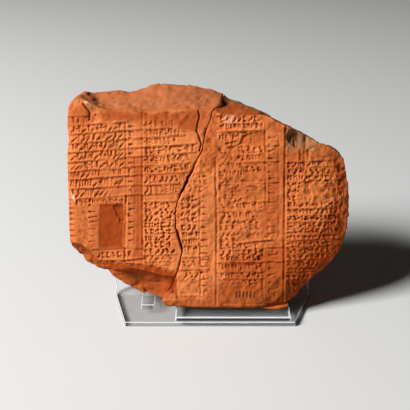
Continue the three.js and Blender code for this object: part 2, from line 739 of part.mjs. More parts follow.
const nodes = [
  ['tablet_left_piece', geometryFrom(leftTablet), COLOURS.clay],
  ['tablet_right_piece', geometryFrom(rightTablet), COLOURS.clayRight],
  ['stand_back_plate', bentSheet(), COLOURS.clear],
  ['stand_ledge', ledge, COLOURS.clear],
  ['stand_peg', peg, COLOURS.clear],
  ['stand_strut', rearStrut(), COLOURS.clear],
];

const bounds = new THREE.Box3();
for (const [, geometry] of nodes) {
  geometry.computeBoundingBox();
  bounds.union(geometry.boundingBox);
}
const centre = bounds.getCenter(new THREE.Vector3());

const group = new THREE.Group();
for (const [name, geometry, look] of nodes) {
  geometry.translate(-centre.x, -centre.y, -bounds.min.z);
  const mesh = new THREE.Mesh(geometry, new THREE.MeshStandardMaterial(look));
  mesh.name = name;
  group.add(mesh);
}

export default group;
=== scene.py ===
# %% [markdown]
# # A broken clay tablet on its clear stand
#
# The real object is a baked clay tablet, written on while it was soft and broken
# since. Two pieces are set together again and lean back on a stand of clear sheet.
# The CAD model holds the outlines, the break, the long carved lines and the two big
# chips. This lesson gives the pieces their skin: the pressed strokes, the worn and
# broken places, the colour of the clay, and the gloss of the sheet.

# %% Load the frame
import math

import bmesh
import bpy
import numpy as np
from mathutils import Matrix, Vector


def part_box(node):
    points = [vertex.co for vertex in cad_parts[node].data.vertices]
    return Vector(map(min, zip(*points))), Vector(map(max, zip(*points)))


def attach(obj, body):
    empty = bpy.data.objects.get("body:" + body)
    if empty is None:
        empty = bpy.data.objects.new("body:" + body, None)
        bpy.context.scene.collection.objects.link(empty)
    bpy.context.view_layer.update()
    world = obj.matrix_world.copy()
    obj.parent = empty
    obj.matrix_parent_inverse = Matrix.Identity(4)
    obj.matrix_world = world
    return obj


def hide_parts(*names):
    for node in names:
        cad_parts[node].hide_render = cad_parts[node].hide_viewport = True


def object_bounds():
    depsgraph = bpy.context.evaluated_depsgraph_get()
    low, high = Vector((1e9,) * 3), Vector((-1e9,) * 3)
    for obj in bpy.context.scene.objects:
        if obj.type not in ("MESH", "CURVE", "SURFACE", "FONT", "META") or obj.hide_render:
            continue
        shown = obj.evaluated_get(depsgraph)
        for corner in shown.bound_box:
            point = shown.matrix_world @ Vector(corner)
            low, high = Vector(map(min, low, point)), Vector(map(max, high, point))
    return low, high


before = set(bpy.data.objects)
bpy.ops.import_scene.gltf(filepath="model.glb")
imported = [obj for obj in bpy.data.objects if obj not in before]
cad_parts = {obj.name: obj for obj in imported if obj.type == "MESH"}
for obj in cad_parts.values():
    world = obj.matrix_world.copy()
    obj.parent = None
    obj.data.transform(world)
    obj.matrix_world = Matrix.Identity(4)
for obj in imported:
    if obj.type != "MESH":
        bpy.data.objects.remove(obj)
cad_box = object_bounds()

print("nodes:", sorted(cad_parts))

# %% [markdown]
# ## The tablet's own frame
#
# Everything on a tablet is easier to say in its own directions: `a` across, `b` up
# the face and `d` the depth behind the face, in millimetres. One function carries
# such a point into the room. The stand's ledge tells where the tablet's foot is,
# so nothing has to be fitted by eye.

# %% Tablet frame and room
MM = 0.001
TABLET_WIDTH = 179.4
TABLET_HEIGHT = 143.3
TABLET_DEPTH = 34.0
LEAN = math.radians(15)
LEDGE_LEFT, LEDGE_FRONT = -21.9, -5.5  # ledge corner, from the middle of the face's foot
FACE_FOOT_HEIGHT = 8.456

ledge_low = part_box("stand_ledge")[0]
FACE_FOOT = np.array([ledge_low.x / MM - LEDGE_LEFT, ledge_low.y / MM - LEDGE_FRONT,
                      FACE_FOOT_HEIGHT])
UPWARD = np.array([0, math.sin(LEAN), math.cos(LEAN)])
OUTWARD = np.array([0, -math.cos(LEAN), math.sin(LEAN)])


def into_room(a, b, d):
    """Room point in metres: foot point, plus a across, b up the face, minus d outward."""
    across_part = a[..., None] * np.array([1.0, 0, 0])
    return (FACE_FOOT + across_part + b[..., None] * UPWARD - d[..., None] * OUTWARD) * MM


def in_millimetres(points):
    """Points given in hundredths of the tablet's width, height and depth, in millimetres."""
    points = np.array(points, float)
    sizes = np.array([TABLET_WIDTH, TABLET_HEIGHT, TABLET_DEPTH])[:points.shape[1]]
    return points * sizes / 100


print("face foot in the room, mm:", FACE_FOOT.round(2))

# %% [markdown]
# ## Camera
#
# The picture was taken from straight in front and a little above, near enough for
# the top of the tablet to show. The camera comes early because the marks on the
# face are placed by where they are seen: a ray through a point of the picture meets
# the face, and the stroke is pressed there.

# %% Camera
PICTURE_SIDE = 410
CAMERA_HEIGHT_ANGLE = math.radians(25)
CAMERA_DISTANCE = 450.0
CAMERA_LENS = 63.73
SENSOR = 36.0
LOOK_AT = FACE_FOOT + np.array([-3.1, 17.6, 66.0])

toward_camera = np.array([0, -math.cos(CAMERA_HEIGHT_ANGLE), math.sin(CAMERA_HEIGHT_ANGLE)])
camera_up = np.array([0, math.sin(CAMERA_HEIGHT_ANGLE), math.cos(CAMERA_HEIGHT_ANGLE)])
camera_place = LOOK_AT + CAMERA_DISTANCE * toward_camera

camera_data = bpy.data.cameras.new("camera")
camera_data.lens = CAMERA_LENS
camera_data.sensor_width = SENSOR
camera_data.clip_start = 0.01
camera = bpy.data.objects.new("camera", camera_data)
bpy.context.scene.collection.objects.link(camera)
camera.location = camera_place * MM
camera.rotation_euler = (math.pi / 2 - CAMERA_HEIGHT_ANGLE, 0, 0)
bpy.context.scene.camera = camera
print("camera at, m:", (camera_place * MM).round(3))

# %% [markdown]
# ## Smooth curves through a few measured points
#
# The outlines were measured at a few points each. A Catmull-Rom curve passes through
# all of them without swinging wide, and equal steps along it give an even mesh.

# %% Even points along a curve
CURVE_STEPS = 40  # between two measured points, before the curve is cut evenly


def even_points(points, steps):
    """Centripetal Catmull-Rom curve through the points, cut at equal lengths."""
    p = np.array(points, float)
    p = np.vstack([2 * p[0] - p[1], p, 2 * p[-1] - p[-2]])
    gap = np.maximum(np.linalg.norm(np.diff(p, axis=0), axis=1), 1e-6)[:, None] ** 0.5
    before, here, after = gap[:-2], gap[1:-1], gap[2:]
    p0, p1, p2, p3 = p[:-3], p[1:-2], p[2:-1], p[3:]
    leave = ((p1 - p0) / before - (p2 - p0) / (before + here) + (p2 - p1) / here) * here
    arrive = ((p2 - p1) / here - (p3 - p1) / (here + after) + (p3 - p2) / after) * here
    t = np.linspace(0, 1, CURVE_STEPS, endpoint=False)[None, :, None]
    curve = (p1[:, None] + leave[:, None] * t
             + (3 * (p2 - p1) - 2 * leave - arrive)[:, None] * t ** 2
             + (2 * (p1 - p2) + leave + arrive)[:, None] * t ** 3)
    curve = np.vstack([curve.reshape(-1, p.shape[1]), p2[-1]])
    length = np.concatenate([[0], np.cumsum(np.linalg.norm(np.diff(curve, axis=0), axis=1))])
    even = np.linspace(0, length[-1], steps + 1)
    return np.stack([np.interp(even, length, column) for column in curve.T], 1)


print("an arch through three points:", even_points([[0, 0], [1, 1], [2, 0]], 4).round(2).tolist())

# %% [markdown]
# ## Noise made by hand
#
# Broken clay is rough at every size. One noise function serves the whole lesson:
# random values sit on the corners of a cubic lattice and are eased between them.
# A few layers of it, each half as wide and half as strong, make a broken surface.

# %% Lattice noise
def lattice_noise(points, wavelength, seed):
    """Noise from -1 to 1: each point blends the hashed values of its cell's eight corners."""
    place = np.asarray(points, float) / wavelength
    cell = np.floor(place).astype(np.int64)
    share = place - cell
    share = share * share * (3 - 2 * share)
    total = np.zeros(place.shape[:-1])
    for corner in np.ndindex(*(2,) * place.shape[-1]):
        corner = np.array(corner)
        weight = np.prod(np.where(corner == 1, share, 1 - share), axis=-1)
        key = (cell + corner) * np.array([73856093, 19349663, 83492791])[:place.shape[-1]]
        key = np.bitwise_xor.reduce(key, axis=-1) ^ (seed * 2654435761)
        key = ((key ^ (key >> 13)) * 1274126177) & 0xFFFFFFFF
        key = ((key ^ (key >> 15)) * 2246822519) & 0xFFFFFFFF
        total += weight * (((key ^ (key >> 16)) & 0xFFFF) / 32767.5 - 1)
    return total


def layered_noise(points, wavelength, seed, layers=3):
    """Sum of noises, each half as wide and half as strong as the one before."""
    return sum(lattice_noise(points, wavelength / 2 ** k, seed + k) / 2 ** k
               for k in range(layers))


def smooth_step(low, high, value):
    """0 below low, 1 above high, eased in between."""
    t = np.clip((value - low) / (high - low), 0, 1)
    return t * t * (3 - 2 * t)


sample = layered_noise(np.arange(600).reshape(200, 3) * 0.37, 5.0, 1)
print("noise on 200 places: from", sample.min().round(2), "to", sample.max().round(2))

# %% [markdown]
# ## Face and back as depths
#
# The written face is almost flat: it bulges by a millimetre or two and rolls away
# at its worn edges. The back bulges more. Both are depths worked out from a place
# on the tablet, with the numbers of the CAD model, so the skin lies on the solid.

# %% Face depth and back depth
FACE_DOME, BACK_DOME = 1.6, 6.0
LEFT_ROLL_WIDTH, LEFT_ROLL = 7.0, 3.0
RIGHT_ROLL_WIDTH, RIGHT_ROLL = 34.0, 7.0
BOTTOM_ROLL_WIDTH, BOTTOM_ROLL = 9.0, 1.5

RIGHT_EDGE = in_millimetres([[28.2, 0.8], [31.6, 4.2], [34.3, 8.4], [39.6, 15.5], [45.6, 22.7],
                             [49.1, 32.6], [50.0, 45.4], [49.7, 51.7], [49.0, 58.5],
                             [47.9, 64.4]])


def roll_off(distance, width, depth):
    """Depth times the square of how far inside the rolled strip the place is."""
    return depth * np.clip(1 - distance / width, 0, None) ** 2


def face_depth(a, b):
    """Dome that grows with the square of the distance from the middle, plus three rolls."""
    dome = FACE_DOME * ((2 * a / TABLET_WIDTH) ** 2 + (2 * b / TABLET_HEIGHT - 1) ** 2) / 2
    from_right = np.interp(b, RIGHT_EDGE[:, 1], RIGHT_EDGE[:, 0]) - a
    return (dome + roll_off(a + TABLET_WIDTH / 2, LEFT_ROLL_WIDTH, LEFT_ROLL)
            + roll_off(from_right, RIGHT_ROLL_WIDTH, RIGHT_ROLL)
            + roll_off(b, BOTTOM_ROLL_WIDTH, BOTTOM_ROLL))


def back_depth(a, b):
    """Full depth less a dome that grows away from the middle."""
    away = (2 * a / TABLET_WIDTH) ** 2 + (2 * b / TABLET_HEIGHT - 1) ** 2
    return TABLET_DEPTH - BACK_DOME * np.minimum(1, away / 1.6)


def on_face(x, y):
    """Place on the face seen at picture point (x, y): its ray meets the face depth."""
    x, y = np.broadcast_arrays(np.asarray(x, float), np.asarray(y, float))
    focal = CAMERA_LENS / SENSOR * PICTURE_SIDE
    middle = PICTURE_SIDE / 2
    ray = (((x - middle) / focal)[..., None] * np.array([1.0, 0, 0])
           - ((y - middle) / focal)[..., None] * camera_up - toward_camera)
    depth = np.zeros(x.shape)
    for _ in range(4):
        reach = (-depth - (camera_place - FACE_FOOT) @ OUTWARD) / (ray @ OUTWARD)
        found = camera_place + reach[..., None] * ray - FACE_FOOT
        a, b = found[..., 0], found @ UPWARD
        depth = face_depth(a, b)
    return a, b


print("middle of the picture falls on the face at, mm:", np.round(on_face(205, 205), 1))

# %% [markdown]
# ## The break
#
# The two pieces meet along one crooked line, which drifts sideways as it goes
# through the clay. Both pieces take their broken side from the same function, half
# a gap apart, so they fit each other as the real ones do and never touch.

# %% Break line and gap
BREAK_LINE = in_millimetres([
    [-17.4, -20], [-17.4, 3.2], [-17.0, 5.1], [-15.5, 7.4], [-13.7, 9.9], [-12.7, 13.4],
    [-11.0, 19.8], [-9.8, 27.0], [-10.3, 30.6], [-11.8, 37.3], [-12.0, 45.3], [-11.4, 49.2],
    [-8.4, 56.7], [-5.5, 64.0], [-2.6, 72.0], [-1.4, 79.9], [1.0, 87.7], [2.8, 92.0],
    [3.4, 120]])
BREAK_GAP, BREAK_GAP_UPPER, BREAK_GAP_LOWER = 0.5, 1.3, 1.2
BREAK_UPPER_PLACE, BREAK_LOWER_PLACE, BREAK_PLACE_SPREAD = 57.5, 32.0, 5.0
BREAK_LEAN_TOP, BREAK_LEAN_FOOT = 5.0, -2.0
BREAK_RAGGED = 0.35
BREAK_BULGE, BULGE_MIDDLE, BULGE_SPREAD = 2.4, 12.0, 5.0


def break_gap(b):
    """Tight gap plus two bell-shaped widenings up the line."""
    rise = 100 * b / TABLET_HEIGHT
    bell = [np.exp(-((rise - place) / BREAK_PLACE_SPREAD) ** 2)
            for place in (BREAK_UPPER_PLACE, BREAK_LOWER_PLACE)]
    return BREAK_GAP + BREAK_GAP_UPPER * bell[0] + BREAK_GAP_LOWER * bell[1]


def break_across(b, d, side):
    """Where the break is at height b and depth d: line, drift, a bulge inside, half the gap."""
    line = np.interp(b, BREAK_LINE[:, 1], BREAK_LINE[:, 0])
    share = np.clip(b / TABLET_HEIGHT, 0, 1)
    drift = (BREAK_LEAN_FOOT + (BREAK_LEAN_TOP - BREAK_LEAN_FOOT) * share) * d / TABLET_DEPTH
    ragged = BREAK_RAGGED * layered_noise(np.stack([b, d], -1), 5.0, 3)
    bulge = BREAK_BULGE * np.exp(-((d - BULGE_MIDDLE) / BULGE_SPREAD) ** 2)
    return line + drift + ragged + bulge + side * break_gap(b) / 2


print("gap, mm: from", BREAK_GAP, "to", break_gap(BREAK_LINE[:, 1]).max().round(2))

# %% [markdown]
# ## A map of the relief
#
# Strokes and worn places are far too many to model one by one. Instead the face
# gets a height map, as a die cutter would think of it: a fine raster of depths, on
# which every tool leaves its mark. Later each vertex of the face reads its depth
# from this map. Marks that only change the colour go on maps of their own.

# %% Relief raster
RASTER = 0.2
BELL_REACH = 2.5  # how many times its reach a softening bell is followed
map_a, map_b = np.meshgrid(np.arange(-92, 92, RASTER), np.arange(-4, 142, RASTER))
map_points = np.stack([map_a, map_b], -1)


def soften(field, reach):
    """Weighted mean of a field with its neighbours, bell-shaped, rows first, then columns."""
    steps = max(1, int(BELL_REACH * reach / RASTER))
    weights = np.exp(-0.5 * (np.arange(-steps, steps + 1) * RASTER / reach) ** 2)
    weights /= weights.sum()
    for axis in (0, 1):
        field = sum(w * np.roll(field, k - steps, axis) for k, w in enumerate(weights))
    return field


def read_map(field, a, b):
    """Value of a raster between its four nearest cells."""
    column = np.clip((a - map_a[0, 0]) / RASTER, 0, field.shape[1] - 1.001)
    row = np.clip((b - map_b[0, 0]) / RASTER, 0, field.shape[0] - 1.001)
    i, j = column.astype(int), row.astype(int)
    u, v = column - i, row - j
    low = field[j, i] * (1 - u) + field[j, i + 1] * u
    high = field[j + 1, i] * (1 - u) + field[j + 1, i + 1] * u
    return low * (1 - v) + high * v


print("raster of", map_a.shape, "places,", RASTER, "mm apart")

# %% [markdown]
# ## Lines and patches on the map
#
# Two helpers are enough for most marks. One measures how far every nearby raster
# place is from a chain of straight runs, and on which side of it, so any profile
# can be laid along a line. The other fills a ring of points and frays its border,
# because nothing on broken clay has a clean outline. Both touch only a window of
# the map, which keeps them quick.

# %% Windows, lines and patches
def window(points, margin):
    """Slices of the raster that hold the points with a margin round them."""
    corner = np.array([map_a[0, 0], map_b[0, 0]])
    low = np.maximum((points.min(0) - margin - corner) / RASTER, 0).astype(int)
    high = ((points.max(0) + margin - corner) / RASTER).astype(int) + 2
    return slice(low[1], high[1]), slice(low[0], high[0])


def beside_line(points, margin):
    """Window and signed distance from a chain: plus on its left hand, minus on its right."""
    spot = window(points, margin)
    places = map_points[spot]
    nearest = np.full(places.shape[:-1], 1e9)
    signed = nearest.copy()
    for start, end in zip(points[:-1], points[1:]):
        run = end - start
        share = np.clip(((places - start) @ run) / (run @ run), 0, 1)
        offset = places - (start + share[..., None] * run)
        away = np.linalg.norm(offset, axis=-1)
        hand = np.sign(run[0] * offset[..., 1] - run[1] * offset[..., 0])
        signed = np.where(away < nearest, away * hand, signed)
        nearest = np.minimum(away, nearest)
    return spot, signed


def seen(*places):
    """Chain of face places for a list of picture points."""
    x, y = np.array(places, float).T
    return np.stack(on_face(x, y), 1)


def patch(*places, ragged=0.7, edge=0.4, grain=5.0, seed=1):
    """Window and mask: 1 inside a ring of picture points, 0 outside, frayed by noise."""
    ring = seen(*places, places[0])
    spot, away = beside_line(ring, 3 * ragged + edge + 1)
    a, b = map_a[spot], map_b[spot]
    inside = np.zeros(a.shape, bool)
    for (a0, b0), (a1, b1) in zip(ring[:-1], ring[1:]):
        crosses = (b0 > b) != (b1 > b)
        inside ^= crosses & (a < a0 + (b - b0) * (a1 - a0) / (b1 - b0 + 1e-12))
    signed = np.where(inside, np.abs(away), -np.abs(away))
    signed += ragged * layered_noise(map_points[spot], grain, seed)
    return spot, smooth_step(-edge, edge, signed)


square = patch((200, 200), (210, 200), (210, 210), (200, 210))[1]
print("ten by ten picture points cover", (square.sum() * RASTER ** 2).round(), "square mm of face")

# %% [markdown]
# ## Ruled lines
#
# Before writing, the scribe ruled the face: deep upright lines between the columns
# and light level lines between the rows. A straight tool pressed into soft clay
# leaves a valley and pushes up a bank, and the bank is what catches the light. So a
# level line is a bank with a valley under it, and an upright line is a valley
# between two banks.

# %% A profile laid along a line
ruled = np.zeros(map_a.shape)
# Distances from the line and the depths there, in millimetres.
LEVEL_PROFILE = ([-1.8, -0.6, 0.75, 1.6], [0, 0.5, -0.65, 0])
UPRIGHT_PROFILE = ([-2.1, -1.1, 0, 1.1, 2.1], [0, -0.22, 0.7, -0.3, 0])
PROFILE_REACH = 2.5
LINE_WOBBLE = 0.15
LINE_MEAN, LINE_VARIES, LINE_RANGE = 0.85, 0.6, (0.15, 1.3)  # how strong a line is, and varies


def rule(places, profile, strength=1.0, seed=5):
    """Lays a profile along a chain of picture points; it wobbles and fades a little."""
    spot, signed = beside_line(seen(*places), PROFILE_REACH)
    wobble = LINE_WOBBLE * lattice_noise(map_points[spot], 5.0, seed)
    fade = LINE_MEAN + LINE_VARIES * lattice_noise(map_points[spot], 7.0, seed + 1)
    fade = np.clip(fade, *LINE_RANGE)
    ruled[spot] += strength * fade * np.interp(signed + wobble, *profile, left=0, right=0)


print("a level line is", LEVEL_PROFILE[1][1], "mm deep and its bank", -LEVEL_PROFILE[1][2], "mm high")

# %% Lines of the left piece
LINE_START, LINE_SPAN = 70, 110  # picture places between which the heights are given
LINE_SAG = 0.3
# Heights where each line crosses the first and the last of those places.
LEFT_LINES = [(117, 110.5), (126, 119), (134.6, 127.4), (144, 135.4), (153, 145), (162.6, 153.6),
              (172, 163.8), (180, 173), (189.2, 183.8), (199.4, 192.8)]
# Picture place where each line, and the row under it, comes to its end.
LEFT_LINE_ENDS = [88, 126, 165, 184, 195, 194, 188, 186, 181, 178]
LEFT_ROW_ENDS = [88, 176, 184, 177, 196, 192, 188, 184, 180]
for (left, right), end in zip(LEFT_LINES, LEFT_LINE_ENDS):
    slope = (right - left) / LINE_SPAN
    middle = (LINE_START + end) / 2
    rule([(LINE_START - 1, left), (middle, left + slope * (middle - LINE_START) - LINE_SAG),
          (end, left + slope * (end - LINE_START))], LEVEL_PROFILE)
print(len(LEFT_LINES), "lines across the left piece")

# %% Short level lines
# Picture points and strength.
LEVEL_LINES = [
    ([(93, 249.8), (124, 248.6), (142, 249)], 0.9), ([(125, 247), (166, 247)], 0.5),
    ([(99, 260.5), (121, 260.8), (142, 258.8)], 1.0),
    ([(218, 132.5), (241, 131.4)], 1.2), ([(241, 131.4), (263, 130.4)], 0.8),
    ([(219, 115.5), (234, 113.4), (249, 114.2)], 0.9),
    ([(240, 146.6), (262, 145.8), (277, 145.4)], 1.0),
    ([(240, 163.2), (258, 162.2), (277, 161.4)], 1.1), ([(240, 165.4), (262, 164)], 0.6),
    ([(247, 184.4), (262, 183.6), (277, 182.4)], 1.1), ([(248, 186.2), (259, 186.4)], 0.9),
    ([(244, 202.4), (275, 201.6)], 0.9), ([(219, 212), (262, 210.8)], 0.7),
    ([(222, 221.6), (245, 220.8)], 1.0), ([(224, 223.4), (240, 222.6)], 0.7),
    ([(244, 243), (258, 241.4), (270, 240)], 1.4), ([(262, 248.6), (281, 247.8)], 0.9),
    ([(219, 262.8), (281, 262)], 0.9), ([(219, 272.6), (262, 272)], 0.7),
    ([(219, 279.4), (262, 278.8)], 0.7), ([(225, 306.4), (266, 306)], 0.7),
    ([(173, 296.6), (200, 296.4)], 0.9), ([(182, 270.2), (208, 269.4)], 0.7),
    ([(184, 257.6), (205, 256.8)], 0.7),
    ([(145, 202.6), (174, 201.6)], 0.8), ([(145, 208.4), (174, 207.6)], 0.6),
    ([(145, 214.8), (174, 213.8)], 0.8), ([(145, 220.6), (174, 219.6)], 0.7),
    ([(145, 226.6), (174, 225.6)], 0.8), ([(145, 233.2), (174, 232.4)], 0.7),
    ([(145, 240.4), (174, 239.4)], 0.8), ([(145, 255.4), (174, 254.6)], 0.8),
    ([(145, 262.2), (174, 261)], 0.7),
    ([(288, 162.4), (312, 161.2), (336, 159.6)], 1.0), ([(300, 167.8), (338, 166)], 0.8),
    ([(303, 181), (340, 179)], 1.1), ([(288, 209.6), (340, 206)], 0.8),
    ([(289, 216.4), (312, 216)], 0.9), ([(288, 218.6), (318, 217.6)], 1.0),
    ([(289, 232), (314, 231)], 1.0), ([(288, 240.6), (338, 238)], 0.9),
    ([(288, 247.2), (330, 245)], 0.8), ([(288, 260.6), (326, 258)], 0.9),
    ([(288, 272.4), (312, 271)], 0.8), ([(288, 279.6), (306, 279)], 0.8),
]
for number, (places, strength) in enumerate(LEVEL_LINES):
    rule(places, LEVEL_PROFILE, strength, 20 + number)
print(len(LEFT_LINES) + len(LEVEL_LINES), "level lines in all")

# %% Upright lines
# Picture points and strength.
UPRIGHT_LINES = [
    ([(126.4, 196), (125.6, 230), (124.6, 262)], 0.8), ([(125.5, 122), (126.6, 196)], 0.55),
    ([(128.4, 122), (128.8, 196)], 0.4), ([(142.4, 113), (142.6, 197)], 0.6),
    ([(142.6, 197), (143, 270)], 0.65),
    ([(134.8, 158), (135, 200), (134.6, 246)], 0.22),
    ([(200.4, 172), (199.8, 230), (201, 296)], 0.6),
    ([(215.6, 158), (216.6, 220), (216.4, 305)], 0.85),
    ([(265.4, 131), (266, 205)], 0.8), ([(268.4, 222), (268, 240)], 0.6),
    ([(262.6, 263), (263, 300)], 0.4), ([(278.6, 136), (279, 240)], 0.25),
    ([(285.6, 128), (284.8, 180), (284.4, 240), (283, 302)], 1.0),
    ([(300.4, 150), (300.2, 160)], 1.0), ([(308.6, 150), (308.4, 160)], 0.7),
]
for number, (places, strength) in enumerate(UPRIGHT_LINES):
    rule(places, UPRIGHT_PROFILE, strength, 80 + number)
print(len(UPRIGHT_LINES), "upright lines")

# %% [markdown]
# ## Pressed strokes
#
# The writing was not scratched: the corner of a cut reed was pressed in again and
# again. Each press leaves one wedge, a broad deep head and a tail that runs out
# thin and shallow. Groups of wedges stand in rows between the ruled lines. Here the
# groups are made up from a few simple layouts and mixed at random, so they fill the
# rows as the real ones do but spell nothing.
#
# All wedges are pressed at once: each one gets a small square window of the map,
# the depth is worked out for every place of every window, and the deepest wins.

# %% One press of the reed, many times over
pressed = np.zeros(map_a.shape)
HEAD_LENGTH = 0.35  # how far the head slopes down behind the deepest place, in widths
TAIL_FALL, TAIL_TAPER = 0.35, 0.5
WEDGES_AT_ONCE, WINDOW_MARGIN = 400, 0.8


def press(strokes):
    """Depth = full at the head, falling along the tail, V-shaped across, narrower at the end."""
    strokes = np.array(strokes, float)
    half_window = int(np.ceil((strokes[:, 3].max() / 2 + WINDOW_MARGIN) / RASTER))
    offsets = np.arange(-half_window, half_window + 1)
    for part in np.array_split(strokes, max(1, len(strokes) // WEDGES_AT_ONCE)):
        a, b, turn, length, width, depth = part.T[..., None, None]
        middle_a = a + np.cos(turn) * length / 2
        middle_b = b + np.sin(turn) * length / 2
        columns = np.rint((middle_a - map_a[0, 0]) / RASTER).astype(int) + offsets[None, None]
        rows = np.rint((middle_b - map_b[0, 0]) / RASTER).astype(int) + offsets[None, :, None]
        x = columns * RASTER + map_a[0, 0] - a
        y = rows * RASTER + map_b[0, 0] - b
        along = x * np.cos(turn) + y * np.sin(turn)
        aside = np.abs(y * np.cos(turn) - x * np.sin(turn))
        share = along / length
        tail = np.clip(1 - share, 0, 1) ** TAIL_FALL
        head = 1 + along / (HEAD_LENGTH * width)
        half = width / 2 * (1 - TAIL_TAPER * np.clip(share, 0, 1))
        cut = depth * np.clip(np.where(along < 0, head, tail), 0, None)
        cut = cut * np.clip(1 - aside / half, 0, None)
        rows, columns = np.broadcast_arrays(np.clip(rows, 0, pressed.shape[0] - 1),
                                            np.clip(columns, 0, pressed.shape[1] - 1))
        np.maximum.at(pressed, (rows, columns), cut)


print("the map is still smooth: deepest press", pressed.max(), "mm")

# %% Groups of strokes in rows
LEVEL, UPRIGHT, FALLING, RISING = 0.0, -90.0, -42.0, 48.0
# Each layout: head across and up in its cell, direction, length in cell sides, width factor.
LAYOUTS = {
    "lean": [(0.1, 0.1, RISING, 1.0, 1.1)],
    "post": [(0.5, 0.98, UPRIGHT, 0.95, 1.1)],
    "stack": [(0.05, 0.85, LEVEL, 0.9, 1), (0.05, 0.5, LEVEL, 0.9, 1), (0.05, 0.16, LEVEL, 0.9, 1)],
    "pair": [(0.28, 0.98, UPRIGHT, 0.95, 1), (0.72, 0.98, UPRIGHT, 0.95, 1)],
    "crossed": [(0.0, 0.62, LEVEL, 1.0, 1), (0.62, 1.0, UPRIGHT, 1.0, 1.1)],
    "slanted": [(0.15, 0.1, RISING, 0.95, 1.1), (0.62, 0.9, UPRIGHT, 0.8, 0.9)],
    "fallen": [(0.1, 0.9, FALLING, 0.8, 1.1), (0.45, 0.3, LEVEL, 0.5, 1)],
    "hook": [(0.3, 0.62, FALLING, 0.42, 1.8), (0.75, 0.95, UPRIGHT, 0.9, 1)],
    "open": [(0.1, 0.9, LEVEL, 0.85, 1), (0.1, 0.1, LEVEL, 0.85, 1), (0.1, 0.95, UPRIGHT, 0.9, 1)],
    "bar": [(0.0, 0.42, LEVEL, 1.1, 0.95)],
    "comb": [(0.15, 0.95, UPRIGHT, 0.8, 0.8), (0.45, 0.95, UPRIGHT, 0.8, 0.8),
             (0.78, 0.95, UPRIGHT, 0.85, 0.8)],
    "leaning": [(0.1, 0.12, RISING, 0.9, 1.1), (0.55, 0.12, RISING, 0.9, 1.1)],
}
STYLES = {
    "upper": ["lean", "pair", "slanted", "leaning", "crossed", "hook", "lean", "comb", "post"],
    "dense": ["crossed", "comb", "pair", "fallen", "hook", "open", "slanted", "stack"],
    "short": ["bar", "bar", "open", "hook"],
    "fine": ["comb", "comb", "pair", "crossed"],
    "bold": ["slanted", "crossed", "fallen", "leaning", "open"],
    "bar": ["bar"],
}
PIXEL = 0.63  # millimetres on the face for one step of the picture
STROKE_WIDTH = 1.8
UNSTEADY_PLACE, UNSTEADY_TURN = 0.12, 6  # millimetres and degrees that the hand strays
GROUP_WIDTHS, GROUP_GAPS = (0.8, 1.25), (0.1, 0.5)  # factors, and gaps in millimetres
LENGTHS, WIDTHS, DEPTHS = (0.85, 1.1), (0.85, 1.15), (0.7, 1.15)
LEAST_GROUP = 0.6  # share of a group that still has to fit at the end of a row
dice = np.random.default_rng(12)
strokes = []


def write_row(start, end, tall, cell, style, depth=0.6):
    """Fills a row from one picture point to another with made-up groups of wedges."""
    (a0, b0), (a1, b1) = seen(start, end)
    tall, cell = tall * PIXEL, cell * PIXEL
    reach = math.hypot(a1 - a0, b1 - b0)
    along = 0.0
    while along < reach - LEAST_GROUP * cell:
        wide = cell * dice.uniform(*GROUP_WIDTHS)
        layout = LAYOUTS[STYLES[style][dice.integers(len(STYLES[style]))]]
        share = along / reach
        corner_a, corner_b = a0 + (a1 - a0) * share, b0 + (b1 - b0) * share - tall / 2
        for across, height, turn, length, broad in layout:
            side = wide if turn == LEVEL else tall
            strokes.append((
                corner_a + across * wide + dice.normal(0, UNSTEADY_PLACE),
                corner_b + height * tall + dice.normal(0, UNSTEADY_PLACE),
                math.radians(turn + dice.normal(0, UNSTEADY_TURN)),
                side * length * dice.uniform(*LENGTHS),
                STROKE_WIDTH * broad * dice.uniform(*WIDTHS), depth * dice.uniform(*DEPTHS)))
        along += wide + dice.uniform(*GROUP_GAPS)


print(len(LAYOUTS), "layouts in", len(STYLES), "styles")

# %% Rows between the lines of the left piece
ROW_MARGIN = 2.2  # height left free between two lines, in picture points
# Start, end, width of a group and style in each column.
FIRST_ROW = [(71, LEFT_ROW_ENDS[0], 5, "upper")]
LEFT_COLUMNS = [(71, 123, 4.3, "upper"), (129.5, 135, 4.5, "short"), (144.5, 196, 4.4, "dense")]


def row_middle(upper, lower, x):
    """Height halfway between two ruled lines at picture place x."""
    return ((upper[0] + lower[0]) + (upper[1] + lower[1] - upper[0] - lower[0])
            * (x - LINE_START) / LINE_SPAN) / 2


for row, (upper, lower) in enumerate(zip(LEFT_LINES[:-1], LEFT_LINES[1:])):
    tall = (lower[0] - upper[0]) - ROW_MARGIN
    for x0, x1, cell, style in FIRST_ROW if row == 0 else LEFT_COLUMNS:
        if style == "dense":
            x1 = min(x1, LEFT_ROW_ENDS[row])
        write_row((x0, row_middle(upper, lower, x0)), (x1, row_middle(upper, lower, x1)),
                  tall, cell, style)
print(len(strokes), "strokes in the ruled rows")

